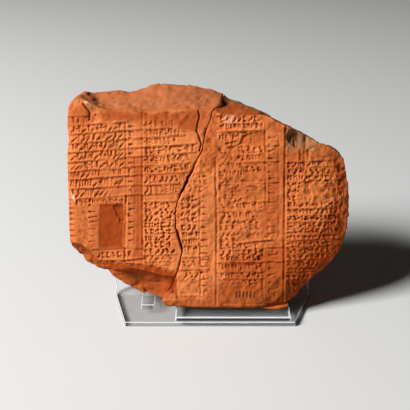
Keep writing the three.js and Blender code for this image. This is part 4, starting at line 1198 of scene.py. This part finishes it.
# %% Which side of the piece a ring point belongs to
def side_shares(piece):
    """Masks round the walk for bottom, right, top and left, eased at the corners."""
    steps = (piece["steps"][0] // 2, piece["steps"][1] // 2)
    masks = []
    for k in range(4):
        shares = [np.full(steps[j % 2], float(j == k)) for j in range(4)]
        mask = np.concatenate(shares)
        for _ in range(6):
            mask = (np.roll(mask, 1) + 2 * mask + np.roll(mask, -1)) / 4
        masks.append(mask)
    return masks


print("shares of the four sides:", [int(mask.sum()) for mask in side_shares(LEFT_PIECE)], "places")


# %% Roughness of the two pieces
BREAK_CALM = 6.0  # how far from the break its fitted side calms the roughness


def roughen(piece, skin, rough_by_side, back_rough):
    """Moves ring and back points inward by layered noise, as deep as their side asks."""
    points = skin["points"]
    outward = outward_directions(skin)
    coarse = layered_noise(points, 9.0, 200, 3)
    shells = np.clip(1 - np.abs(lattice_noise(points, 13.0, 210)) * 2, 0, 1)
    small = layered_noise(points, 3.0, 220, 2)
    creases = np.clip(1 - 5 * np.abs(lattice_noise(points, 9.0, 240)), 0, 1)
    ids = skin["ring_ids"]
    ring_depth = np.zeros(ids.shape)
    for share, amounts in zip(side_shares(piece), rough_by_side):
        coarse_deep, shell_deep, small_deep, crease_deep = amounts
        own = (coarse_deep * (coarse[ids] * 0.5 + 0.5) + shell_deep * shells[ids]
               + small_deep * (small[ids] * 0.5 + 0.5) + crease_deep * creases[ids])
        ring_depth += share * own
    ring_depth *= smooth_step(-1, 4, np.arange(len(ids))[:, None])
    ring_depth[:, skin["on_break"]] *= 0.3
    across = points[ids, 0] - break_across(points[ids, 1], points[ids, 2], piece["side"])
    ring_depth *= 1 - 0.8 * np.exp(-(across / BREAK_CALM) ** 2)
    depth = np.zeros(len(points))
    depth[ids] = ring_depth
    depth[skin["back_ids"]] = back_rough * (coarse[skin["back_ids"]] * 0.5 + 0.5)
    outward[ids[:, skin["on_break"]], 0] *= 0.2
    skin["points"] = points - outward * np.clip(depth, 0, None)[:, None]
    return depth.max().round(1)


# For each side, bottom, right, top and left: coarse, shell-shaped, small roughness, creases.
LEFT_ROUGH = [(0.9, 0.8, 1.0, 1.0), (0.2, 0, 0.1, 0), (1.0, 0.5, 0.9, 0.4), (0.35, 0, 0.55, 0.15)]
RIGHT_ROUGH = [(0.5, 0, 0.7, 0.3), (0.6, 0.2, 1.3, 0.6), (0.4, 0.1, 0.8, 0.4), (0.2, 0, 0.1, 0)]
print("deepest roughness, mm:", roughen(LEFT_PIECE, left_skin, LEFT_ROUGH, 1.0), "left,",
      roughen(RIGHT_PIECE, right_skin, RIGHT_ROUGH, 1.0), "right")

# %% [markdown]
# ## The two lost flakes
#
# A big chip is missing from the upper right edge and a small one behind the upper
# left corner. Both are scooped out as part of a ball: skin that would lie inside
# the ball is pushed onto its far side.

# %% Scooped flakes
CHIP_MIDDLE, CHIP_SIZE = in_millimetres([[31.8, 77.6, 0]])[0], np.array([20, 17.2, 11])
FLAKE_MIDDLE, FLAKE_SIZE = in_millimetres([[-38.9, 93.2, 40]])[0], np.array([7, 5, 14])
SCOOP_RAGGED, BALL_MARGIN = 0.16, 1.6


def scoop(skin, middle, size, axis, sense):
    """Points inside the ball move along one axis to its far wall; returns how deep each went."""
    points = skin["points"]
    ragged = 1 + SCOOP_RAGGED * layered_noise(points * [1.6, 0.7, 1], 4.5, 230, 3)
    offset = (points - middle) / (size / 2 * ragged[:, None])
    aside = (offset ** 2).sum(1) - offset[:, axis] ** 2
    wall = middle[axis] + sense * size[axis] / 2 * ragged * np.sqrt(np.clip(1 - aside, 0, 1))
    short = sense * (wall - points[:, axis])
    inside = (aside < 1) & (short > 0) & ((offset ** 2).sum(1) < BALL_MARGIN)
    points[inside, axis] = wall[inside]
    return np.where(inside, short, 0)


chip_loss = scoop(right_skin, CHIP_MIDDLE, CHIP_SIZE, 2, 1)
flake_loss = scoop(left_skin, FLAKE_MIDDLE, FLAKE_SIZE, 1, -1)
print("chip", chip_loss.max().round(1), "mm deep, flake", flake_loss.max().round(1), "mm deep")

# %% [markdown]
# ## Colours that follow the surface
#
# The clay is one colour to begin with. What makes it look old follows the surface,
# and part of it is painted light. Hollows get painted shade, deep and red, and high
# places a painted highlight, pale. Some breaks are pinkish with dust and others raw
# orange, and the same dark orange is painted shade where the face rolls away at the
# lower right and along the foot. The pale places in the upper left and the middle of
# the face are a painted pool of light, and dirt sits grey-brown in the chip. Each of
# these is a mask kept on the vertices, where the material can read it. The ink marks
# are a row of plain ticks on the smooth place low in the third column; they are colour
# alone and have no depth.

# %% Slow changes of colour
# Relief less its softened self: above a half in hollows, which get painted shade, below a half on high
# places, which get a painted highlight.
hollow_map = np.clip(0.5 + (relief - soften(relief, 1.6)) / 0.8, 0, 1)
pale_map = smooth_step(-0.2, 0.9, layered_noise(map_points, 24, 90, 2)) * 0.5
raw_and_shade_map = smooth_step(0.1, 1.0, layered_noise(map_points, 19, 94, 3)) * 0.5
print("mean of the hollow mask", hollow_map.mean().round(2), "and of the raw one",
      raw_and_shade_map.mean().round(2))

# %% Places with a colour of their own
grey_map = np.zeros(map_a.shape)
chalk_map = np.zeros(map_a.shape)
tone_maps = {"pale": pale_map, "raw_and_shade": raw_and_shade_map, "grey": grey_map, "chalk": chalk_map}
# Which mask, how much of it, how ragged the border is in millimetres, and the ring.
TONES = [
    # The first three pale places, in the upper left and the middle of the face, are a painted pool of
    # light.
    ("pale", 0.9, 2.0, [(112, 118), (136, 120), (140, 150), (112, 152)]),
    ("pale", 0.9, 1.0, [(175, 136), (184, 133), (196, 133), (197, 143), (176, 145)]),
    ("pale", 0.8, 3.0, [(146, 136), (196, 132), (196, 160), (146, 168)]),
    ("pale", 0.6, 3.0, [(150, 200), (172, 198), (172, 240), (148, 252)]),
    ("pale", 0.9, 3.0, [(182, 200), (202, 198), (204, 250), (184, 256)]),
    ("pale", 0.7, 1.5, [(172, 284), (206, 280), (208, 306), (166, 306)]),
    ("raw_and_shade", 0.45, 2.0, [(203, 112), (216, 112), (217, 172), (204, 172)]),
    ("raw_and_shade", 0.3, 3.0, [(222, 150), (262, 150), (262, 200), (222, 200)]),
    ("raw_and_shade", 0.5, 2.0, [(66, 104), (90, 104), (96, 122), (66, 126)]),
    ("raw_and_shade", 0.7, 2.0, [(100, 110), (146, 113), (210, 110), (200, 130), (182, 132), (140, 118),
      (104, 124)]),
    # The smooth blank panel in the first column is made darker.
    ("raw_and_shade", 1.0, 0.8, [(99, 204), (124, 203), (124, 249), (98, 249)]),
    ("raw_and_shade", 0.7, 1.0, [(134, 168), (142, 168), (143, 260), (134, 262)]),
    ("raw_and_shade", 1.0, 1.2, [(68, 245), (90, 254), (99, 262), (143, 264), (176, 272), (176, 295), (100, 280)]),
    ("raw_and_shade", 0.45, 1.0, [(242, 133), (266, 132), (266, 146), (240, 146)]),
    ("raw_and_shade", 0.6, 2.0, [(218, 108), (262, 118), (290, 132), (284, 136), (258, 120), (220, 114)]),
    # Painted shade where the face rolls away at the right.
    ("raw_and_shade", 0.8, 3.0, [(330, 150), (350, 180), (352, 240), (300, 300), (280, 308), (310, 250),
      (334, 200)]),
    ("raw_and_shade", 0.6, 2.0, [(226, 286), (262, 284), (266, 306), (222, 306)]),
    ("grey", 0.8, 1.2, [(286, 128), (300, 130), (320, 142), (316, 149), (300, 146), (288, 150)]),
    ("chalk", 0.8, 0.25, [(71.5, 193), (73.4, 195), (74.6, 200.4), (72.6, 199)]),
    ("chalk", 0.7, 0.2, [(85, 100), (88, 102), (87, 103.6), (84.6, 102)]),
    # Painted shade on the lower right corner.
    ("raw_and_shade", 1.0, 1.0, [(262, 303), (292, 298), (292, 312), (262, 312)]),
    ("chalk", 0.15, 0.25, [(303, 148.6), (317, 148), (316, 150), (304, 150.4)]),
    ("chalk", 0.18, 1.2, [(225, 117), (234, 116), (236, 122), (226, 125)]),
    # Painted shade at the lower right.
    ("raw_and_shade", 0.9, 3.0, [(284, 262), (330, 244), (352, 236), (330, 280), (290, 308), (280, 300)]),
    # Painted shade over the lower right of the face.
    ("raw_and_shade", 0.7, 4.0, [(226, 262), (262, 250), (300, 230), (340, 220), (330, 270), (290, 306),
      (220, 306)]),
    ("grey", 0.6, 0.8, [(84, 100), (100, 98), (102, 106), (92, 110)]),
    # Painted shade along the foot.
    ("raw_and_shade", 0.4, 2.0, [(205, 286), (266, 282), (270, 312), (170, 312), (170, 299), (205, 299)]),
    # Painted shade at the lower right.
    ("raw_and_shade", 1.0, 3.0, [(296, 268), (328, 246), (350, 240), (330, 285), (290, 310), (284, 296)]),
]
for number, (tone, share, ragged, places) in enumerate(TONES):
    spot, mask = patch(*places, ragged=ragged, edge=ragged + 0.4, grain=7.0, seed=260 + number)
    tone_maps[tone][spot] = np.maximum(tone_maps[tone][spot], share * mask)
    if tone == "raw_and_shade":
        pale_map[spot] *= 1 - 0.8 * mask
print(len(TONES), "places with a colour of their own")

# %% Ink ticks
TICKS, TICK_STEP, TICK_LEAN = 6, 3.6, 0.4
FIRST_TICK, TICK_TOP, TICK_FOOT = 236, 292, 297.6
ink_map = np.zeros(map_a.shape)
for x in FIRST_TICK + TICK_STEP * np.arange(TICKS):
    spot, signed = beside_line(seen((x + TICK_LEAN, TICK_TOP), (x, TICK_FOOT)), 1)
    ink_map[spot] = np.maximum(ink_map[spot], smooth_step(0.55, 0.3, np.abs(signed)))
print("ink on", (ink_map.sum() * RASTER ** 2).round(1), "square mm")


# %% Colour masks on the vertices
mask_maps = {"hollow": hollow_map, "pale": pale_map, "raw_and_shade": raw_and_shade_map, "grey": grey_map,
             "ink": ink_map, "chalk": chalk_map, "pink": np.zeros(map_a.shape)}
# A value of 0.5 gives neither painted shade nor painted highlight.
UNMARKED = {"hollow": 0.5}  # neither hollow nor high; every other mask starts from 0


def colour_masks(piece, skin, side_tones, back_tones, loss):
    """Face vertices read the maps; ring vertices take their side's tones."""
    points = skin["points"]
    masks = {}
    shares = side_shares(piece)
    ring_number = np.arange(len(skin["ring_ids"]))[:, None]
    away = (shares[2] * smooth_step(-1, 3, ring_number)
            + (1 - shares[2]) * smooth_step(2, 12, ring_number))
    toward_back = smooth_step(0.35, 0.8, ring_number / len(ring_number))
    for name, field in mask_maps.items():
        values = read_map(field, points[:, 0], points[:, 1])
        own = 0
        for share, tones in zip(shares, side_tones):
            near, far = np.broadcast_to(tones.get(name, UNMARKED.get(name, 0)), 2)
            own = own + share * (near + (far - near) * toward_back)
        ids = skin["ring_ids"]
        values[ids] = values[ids] * (1 - away) + own * away
        values[skin["back_ids"]] = back_tones.get(name, UNMARKED.get(name, 0))
        masks[name] = values
    # The scoops turn greyer where they go deeper, and get painted shade there as well.
    stained = 0.28 + 0.35 * layered_noise(points * [1.8, 0.6, 1], 5.0, 250, 2)
    masks["grey"] = np.maximum(masks["grey"], smooth_step(0.5, 3, loss) * np.clip(stained, 0, 1))
    masks["hollow"] = np.maximum(masks["hollow"], 0.5 + 0.15 * smooth_step(1, 5, loss))
    return masks


# For each side, bottom, right, top and left: masks near the face and toward the back.
LEFT_TONES = [{"raw_and_shade": (0.8, 0.5)}, {"raw_and_shade": 0.6}, {"pink": 0.9, "pale": 0.2},
              {"raw_and_shade": (0.25, 0.5), "grey": (0, 0.2)}]
# On the right piece's right side, which rolls away from the light, the dark orange and the shade mask
# are painted shade.
RIGHT_TONES = [{"raw_and_shade": (0.6, 0.5)}, {"raw_and_shade": (0.6, 0.9), "hollow": 0.62},
               {"raw_and_shade": (0.6, 0.2), "grey": (0, 0.8)}, {"raw_and_shade": 0.6}]
BACK_TONES = {"pale": 0.2, "grey": 0.15}
left_masks = colour_masks(LEFT_PIECE, left_skin, LEFT_TONES, BACK_TONES, flake_loss)
right_masks = colour_masks(RIGHT_PIECE, right_skin, RIGHT_TONES, BACK_TONES, chip_loss)
print("masks on each piece:", ", ".join(left_masks))

# %% [markdown]
# ## From skins to meshes
#
# So far a piece is only numbers: points in the tablet's frame, faces as lists of
# vertex numbers, and a mask value for each point. Blender takes each of them in one
# go with foreach_set, which is far quicker than a loop. Each mesh then rides on the
# part's body and stands for the CAD piece that it dresses.

# %% Skin to mesh
def make_mesh(name, points, quads, triangles, masks=None):
    """One mesh object from room points in metres, four-cornered and three-cornered faces."""
    mesh = bpy.data.meshes.new(name)
    mesh.vertices.add(len(points))
    mesh.vertices.foreach_set("co", points.astype(np.float32).ravel())
    corners = np.concatenate([quads.ravel(), triangles.ravel()]).astype(np.int32)
    starts = np.concatenate([4 * np.arange(len(quads)),
                             4 * len(quads) + 3 * np.arange(len(triangles))])
    mesh.loops.add(len(corners))
    mesh.loops.foreach_set("vertex_index", corners)
    mesh.polygons.add(len(starts))
    mesh.polygons.foreach_set("loop_start", starts.astype(np.int32))
    mesh.polygons.foreach_set("use_smooth", np.ones(len(starts), bool))
    mesh.update(calc_edges=True)
    mesh.validate()
    for mask_name, values in (masks or {}).items():
        attribute = mesh.attributes.new(mask_name, "FLOAT", "POINT")
        attribute.data.foreach_set("value", values.astype(np.float32))
    made = bpy.data.objects.new(name, mesh)
    bpy.context.scene.collection.objects.link(made)
    return made


def inside_box(points):
    """Points held within the CAD model's box."""
    return np.clip(points, np.array(cad_box[0]), np.array(cad_box[1]))


print("room for the meshes, m:", (np.array(cad_box[1]) - np.array(cad_box[0])).round(4))

# %% The two pieces of the tablet
tablet_pieces = {}
for name, skin, masks in (("tablet_left", left_skin, left_masks),
                          ("tablet_right", right_skin, right_masks)):
    room = inside_box(into_room(*skin["points"].T))
    tablet_pieces[name] = make_mesh(name, room, skin["quads"], skin["triangles"], masks)
    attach(tablet_pieces[name], "root")
    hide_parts(name + "_piece")
    print(name, "has", len(room), "vertices")

# %% [markdown]
# ## Clay
#
# One node group mixes the clay's colours from the masks and adds what changes from
# grain to grain: slow clouds, grit and fine speckle, all from noise on Object
# coordinates. It puts out a colour, a roughness and a height for the bump, and each
# piece's material holds its own shader, because the two pieces aged differently.

# %% Small helpers for node trees
def add_node(tree, kind, **settings):
    """New node with its plain settings; sockets are given as inputs={name: value}."""
    node = tree.nodes.new(kind)
    for socket, value in settings.pop("inputs", {}).items():
        node.inputs[socket].default_value = value
    for key, value in settings.items():
        setattr(node, key, value)
    return node


def mix_colour(tree, share, first, second, blend="MIX"):
    """Colour mix node between two sockets or plain colours; returns its output."""
    node = add_node(tree, "ShaderNodeMix", data_type="RGBA", blend_type=blend)
    for socket, value in ((node.inputs[0], share), (node.inputs[6], first),
                          (node.inputs[7], second)):
        if isinstance(value, bpy.types.NodeSocket):
            tree.links.new(value, socket)
        else:
            socket.default_value = value
    return node.outputs[2]


def combine(tree, operation, first, second, third=None, clamp=False):
    """Math node on sockets or numbers; returns its output."""
    node = add_node(tree, "ShaderNodeMath", operation=operation, use_clamp=clamp)
    for socket, value in zip(node.inputs, (first, second, third)):
        if isinstance(value, bpy.types.NodeSocket):
            tree.links.new(value, socket)
        elif value is not None:
            socket.default_value = value
    return node.outputs[0]


def noise_at(tree, coordinates, size_mm, detail=2.0, rough=0.5):
    """Noise texture whose lumps are about size_mm wide; returns its value output."""
    node = add_node(tree, "ShaderNodeTexNoise",
                    inputs={"Scale": 1000 / size_mm, "Detail": detail, "Roughness": rough})
    tree.links.new(coordinates, node.inputs["Vector"])
    return node.outputs[0]


print("lumps 1.3 mm wide are noise of scale", round(1000 / 1.3))

# %% Colours of the clay
MASKS = ["hollow", "pale", "raw_and_shade", "pink", "grey", "chalk", "ink"]
CLAY_BODY = (0.48, 0.131, 0.035, 1)
# Deep red: painted shade in hollows, and the colour of the dark grains.
CLAY_SHADE_AND_DARK_GRAIN = (0.24, 0.036, 0.006, 1)
# Pale clay: the pale places, and a painted highlight on high places.
CLAY_PALE_AND_HIGHLIGHT = (0.78, 0.285, 0.100, 1)
# Dark orange: raw breaks and darker clay, and painted shade at the lower right and along the foot.
CLAY_RAW_AND_SHADE = (0.28, 0.045, 0.006, 1)
CLAY_PINK = (0.34, 0.100, 0.036, 1)
CLAY_DIRT = (0.20, 0.10, 0.045, 1)
CHALK = (0.85, 0.62, 0.42, 1)
INK = (0.012, 0.010, 0.012, 1)
print(len(MASKS), "masks steer the clay's colours")

# %% Clay colour group
clay_group = bpy.data.node_groups.new("clay_colour", "ShaderNodeTree")
for mask_name in MASKS:
    clay_group.interface.new_socket(mask_name, in_out="INPUT", socket_type="NodeSocketFloat")
for name, kind in (("Colour", "NodeSocketColor"), ("Roughness", "NodeSocketFloat"),
                   ("Height", "NodeSocketFloat")):
    clay_group.interface.new_socket(name, in_out="OUTPUT", socket_type=kind)
masks_in = add_node(clay_group, "NodeGroupInput")
group_out = add_node(clay_group, "NodeGroupOutput")
place = add_node(clay_group, "ShaderNodeTexCoord").outputs["Object"]
# Noises with lumps 26, 6, 1.3 and 0.7 mm wide.
clouds = noise_at(clay_group, place, 26, 3)
blotches = noise_at(clay_group, place, 6, 3, 0.6)
grit = noise_at(clay_group, place, 1.3, 3, 0.65)
speckle = noise_at(clay_group, place, 0.7, 2, 0.6)
print("group with inputs", ", ".join(MASKS))

# %% Pale and raw clay, painted shade in hollows, painted highlight on high places
pale_share = combine(clay_group, "MULTIPLY_ADD", blotches, 0.7, -0.1)
pale_share = combine(clay_group, "MULTIPLY", masks_in.outputs["pale"], pale_share, clamp=True)
colour = mix_colour(clay_group, pale_share, CLAY_BODY, CLAY_PALE_AND_HIGHLIGHT)
colour = mix_colour(clay_group, masks_in.outputs["raw_and_shade"], colour, CLAY_RAW_AND_SHADE)
colour = mix_colour(clay_group, masks_in.outputs["pink"], colour, CLAY_PINK)
# Hollows are mixed toward deep red as painted shade, high places toward pale clay as a painted
# highlight.
hollow = masks_in.outputs["hollow"]
painted_shade_share = combine(clay_group, "MULTIPLY_ADD", hollow, 1.6, -0.83, clamp=True)
colour = mix_colour(clay_group, painted_shade_share, colour, CLAY_SHADE_AND_DARK_GRAIN)
painted_highlight_share = combine(clay_group, "MULTIPLY_ADD", hollow, -2.2, 1.1, clamp=True)
painted_highlight_share = combine(clay_group, "MULTIPLY", painted_highlight_share, 0.95)
colour = mix_colour(clay_group, painted_highlight_share, colour, CLAY_PALE_AND_HIGHLIGHT)
colour = mix_colour(clay_group, masks_in.outputs["grey"], colour, CLAY_DIRT)
colour = mix_colour(clay_group, masks_in.outputs["chalk"], colour, CHALK)
print(len(clay_group.nodes), "nodes mix the clay's own colours")

# %% Shade, grain and ink
shade = combine(clay_group, "MULTIPLY_ADD", clouds, 0.35, 0.83)
shade = combine(clay_group, "MULTIPLY", shade,
                combine(clay_group, "MULTIPLY_ADD", grit, 0.3, 0.85))
shade_colour = add_node(clay_group, "ShaderNodeCombineColor")
for channel in range(3):
    clay_group.links.new(shade, shade_colour.inputs[channel])
colour = mix_colour(clay_group, 1.0, colour, shade_colour.outputs[0], "MULTIPLY")
dark_grain = combine(clay_group, "MULTIPLY_ADD", speckle, -6.0, 2.2, clamp=True)
grain_share = combine(clay_group, "MULTIPLY_ADD", masks_in.outputs["pink"], 0.45, 0.35)
dark_grain = combine(clay_group, "MULTIPLY", dark_grain, grain_share)
colour = mix_colour(clay_group, dark_grain, colour, CLAY_SHADE_AND_DARK_GRAIN)
colour = mix_colour(clay_group, masks_in.outputs["ink"], colour, INK)
clay_group.links.new(colour, group_out.inputs["Colour"])
clay_group.links.new(combine(clay_group, "MULTIPLY_ADD", blotches, 0.25, 0.58),
                     group_out.inputs["Roughness"])
clay_group.links.new(combine(clay_group, "MULTIPLY_ADD", grit, 0.6, speckle),
                     group_out.inputs["Height"])
print(len(clay_group.nodes), "nodes with shade, grain and ink")


# %% The two clay materials
def clay_material(name, specular):
    """Principled shader fed by the clay group, which reads the masks of its piece."""
    material = bpy.data.materials.new(name)
    material.use_nodes = True
    tree = material.node_tree
    shader = tree.nodes["Principled BSDF"]
    shader.inputs["Specular IOR Level"].default_value = specular
    group = add_node(tree, "ShaderNodeGroup", node_tree=clay_group)
    for mask_name in MASKS:
        reader = add_node(tree, "ShaderNodeAttribute", attribute_name=mask_name)
        tree.links.new(reader.outputs["Fac"], group.inputs[mask_name])
    bump = add_node(tree, "ShaderNodeBump", inputs={"Strength": 0.5, "Distance": 0.0003})
    tree.links.new(group.outputs["Height"], bump.inputs["Height"])
    tree.links.new(bump.outputs["Normal"], shader.inputs["Normal"])
    tree.links.new(group.outputs["Colour"], shader.inputs["Base Color"])
    tree.links.new(group.outputs["Roughness"], shader.inputs["Roughness"])
    return material


tablet_pieces["tablet_left"].data.materials.append(clay_material("clay_left", 0.06))
tablet_pieces["tablet_right"].data.materials.append(clay_material("clay_right", 0.05))
for name, piece in tablet_pieces.items():
    print(name, "is made of", piece.data.materials[0].name)

# %% [markdown]
# ## The clear stand
#
# The stand is cut from clear sheet and polished. One looks through its broad faces,
# while its sawn sides look dark and its eased edges catch the light as thin bright
# lines. So each CAD piece is copied, the copy's vertices are merged, its sawn sides
# get a dark, nearly solid material as painted shade and reflection, and a small bevel
# gets a pale one as a painted highlight. Fine scratches and a trace of dust keep the
# broad faces from looking like nothing.

# %% Bevelled copies of the stand's pieces
BROAD_FACE, EASED_EDGE, SAWN_SIDE = 0, 1, 2  # material slots
SAME_WAY = 0.7  # cosine of the angle up to which a face counts as broad or level
EASES_MM = {"stand_back_plate": 0.4, "stand_ledge": 0.7, "stand_peg": 0.4, "stand_strut": 0.4}


def eased_copy(node, ease_mm):
    """Copy of a CAD piece: equal vertices merged, flat faces joined, edges bevelled."""
    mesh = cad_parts[node].data.copy()
    mesh.materials.clear()
    work = bmesh.new()
    work.from_mesh(mesh)
    bmesh.ops.remove_doubles(work, verts=work.verts, dist=0.01 * MM)
    bmesh.ops.dissolve_limit(work, angle_limit=math.radians(1), verts=work.verts, edges=work.edges)
    bmesh.ops.recalc_face_normals(work, faces=work.faces)
    broad = max(work.faces, key=lambda face: face.calc_area()).normal.copy()
    for face in work.faces:
        along_sheet = abs(face.normal @ broad) > SAME_WAY and node != "stand_ledge"
        level = abs(face.normal.z) > SAME_WAY
        looked_through = along_sheet or level or node == "stand_peg"
        # Sawn sides take the slot whose dark finish is painted shade and reflection.
        face.material_index = BROAD_FACE if looked_through else SAWN_SIDE
    work.to_mesh(mesh)
    work.free()
    made = bpy.data.objects.new("clear_" + node.removeprefix("stand_"), mesh)
    bpy.context.scene.collection.objects.link(made)
    bevel = made.modifiers.new("eased", "BEVEL")
    bevel.width, bevel.segments, bevel.limit_method = ease_mm * MM, 2, "ANGLE"
    bevel.material = EASED_EDGE
    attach(made, "root")
    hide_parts(node)
    return made


stand_pieces = [eased_copy(node, ease) for node, ease in EASES_MM.items()]
print("eased:", ", ".join(piece.name for piece in stand_pieces))

# %% Scratches and dust
SHEET_TINT, SHEET_CLEAR = (0.80, 0.87, 0.90, 1), (0.95, 0.98, 1.0, 1)
sheet_group = bpy.data.node_groups.new("sheet_wear", "ShaderNodeTree")
for name, kind in (("Colour", "NodeSocketColor"), ("Roughness", "NodeSocketFloat"),
                   ("Height", "NodeSocketFloat")):
    sheet_group.interface.new_socket(name, in_out="OUTPUT", socket_type=kind)
sheet_out = add_node(sheet_group, "NodeGroupOutput")
sheet_place = add_node(sheet_group, "ShaderNodeTexCoord").outputs["Object"]
dust = noise_at(sheet_group, sheet_place, 9, 4, 0.65)
scratch_stretch = add_node(sheet_group, "ShaderNodeMapping",
                           inputs={"Scale": (1, 6, 30), "Rotation": (0.2, 0.3, 0.4)})
sheet_group.links.new(sheet_place, scratch_stretch.inputs["Vector"])
scratches = noise_at(sheet_group, scratch_stretch.outputs[0], 14, 2, 0.7)
sheet_group.links.new(mix_colour(sheet_group, dust, SHEET_TINT, SHEET_CLEAR),
                      sheet_out.inputs["Colour"])
sheet_group.links.new(combine(sheet_group, "MULTIPLY_ADD", dust, 0.12, 0.0, clamp=True),
                      sheet_out.inputs["Roughness"])
sheet_group.links.new(scratches, sheet_out.inputs["Height"])
print("sheet wear group of", len(sheet_group.nodes), "nodes")


# %% Clear materials
ACRYLIC_IOR = 1.49
# The dark tint of the sawn sides is painted shade and reflection.
PLAIN, EDGE_PAINTED_DARK = (1, 1, 1, 1), (0.02, 0.022, 0.025, 1)


def clear_material(name, alpha, transmission, tint):
    """Principled shader of clear acrylic: see-through by plain transmission and alpha."""
    material = bpy.data.materials.new(name)
    material.use_nodes = True
    tree = material.node_tree
    shader = tree.nodes["Principled BSDF"]
    shader.inputs["IOR"].default_value = ACRYLIC_IOR
    shader.inputs["Transmission Weight"].default_value = transmission
    shader.inputs["Alpha"].default_value = alpha
    group = add_node(tree, "ShaderNodeGroup", node_tree=sheet_group)
    bump = add_node(tree, "ShaderNodeBump", inputs={"Strength": 0.15, "Distance": 0.0001})
    tree.links.new(group.outputs["Height"], bump.inputs["Height"])
    tree.links.new(bump.outputs["Normal"], shader.inputs["Normal"])
    tree.links.new(mix_colour(tree, 1.0, group.outputs["Colour"], tint, "MULTIPLY"),
                   shader.inputs["Base Color"])
    tree.links.new(group.outputs["Roughness"], shader.inputs["Roughness"])
    return material


# In the order of the material slots.
# The eased edge's pale, nearly solid finish is a painted highlight; the sawn side's dark one is painted
# shade and reflection.
clear_finishes = [clear_material("clear_sheet", 0.3, 1.0, PLAIN),
                  clear_material("eased_edge_painted_bright", 0.8, 0.3, PLAIN),
                  clear_material("sawn_side_painted_dark", 0.95, 0.1, EDGE_PAINTED_DARK)]
for piece in stand_pieces:
    for finish in clear_finishes:
        piece.data.materials.append(finish)
print("finishes of the stand:", ", ".join(finish.name for finish in clear_finishes))

# %% [markdown]
# ## Floor and light
#
# Carved clay is read by its shadows, so the light comes from far to the left and a
# little from above, from one soft lamp. It could be a sun, but a lamp with a size
# softens the shadow's border as a window does. The room itself is nearly dark, so
# that the strokes stay deep. The floor is plain and pale, and belongs to the stage
# and not to the part.

# %% Floor
FLOOR_SIDE = 6
bpy.ops.mesh.primitive_plane_add(size=FLOOR_SIDE)
floor = bpy.context.object
floor.name = "floor"
floor_paint = bpy.data.materials.new("floor_paint")
floor_paint.use_nodes = True
floor_shader = floor_paint.node_tree.nodes["Principled BSDF"]
floor_shader.inputs["Base Color"].default_value = (0.52, 0.52, 0.51, 1)
floor_shader.inputs["Roughness"].default_value = 0.8
floor.data.materials.append(floor_paint)
print("floor", FLOOR_SIDE, "m wide")

# %% Light
KEY_FROM = Vector((-0.70, -0.353, 0.613)).normalized()
KEY_WATTS, KEY_SIZE, KEY_DISTANCE = 142, 0.75, 2.5
TABLET_MIDDLE = Vector((0, 0, 0.07))
ROOM_GLOW = 0.03
key_data = bpy.data.lights.new("key", "AREA")
key_data.energy = KEY_WATTS
key_data.size = KEY_SIZE
key = bpy.data.objects.new("key", key_data)
bpy.context.scene.collection.objects.link(key)
key.location = TABLET_MIDDLE + KEY_DISTANCE * KEY_FROM
key.rotation_euler = KEY_FROM.to_track_quat("Z", "Y").to_euler()

world = bpy.data.worlds.new("room")
bpy.context.scene.world = world
world.use_nodes = True
background = world.node_tree.nodes["Background"]
background.inputs["Color"].default_value = (1.0, 0.98, 0.95, 1)
background.inputs["Strength"].default_value = ROOM_GLOW
bpy.context.scene.view_settings.view_transform = "Standard"
print("key light", key_data.energy, "W,", KEY_DISTANCE, "m away")

# %% [markdown]
# ## Sizes
#
# Last, the CAD model's box is printed. Its outline follows the solids to within a few
# millimetres, and at the outermost points it keeps inside them, so its box has to lie
# inside the model's box. The dressed part's outline follows the solids to within a few
# millimetres, and at the outermost points it keeps inside them; the vertices of the
# two tablet pieces are also held within the model's box.

# %% Sizes
print("CAD box", [[round(x, 4) for x in corner] for corner in cad_box])
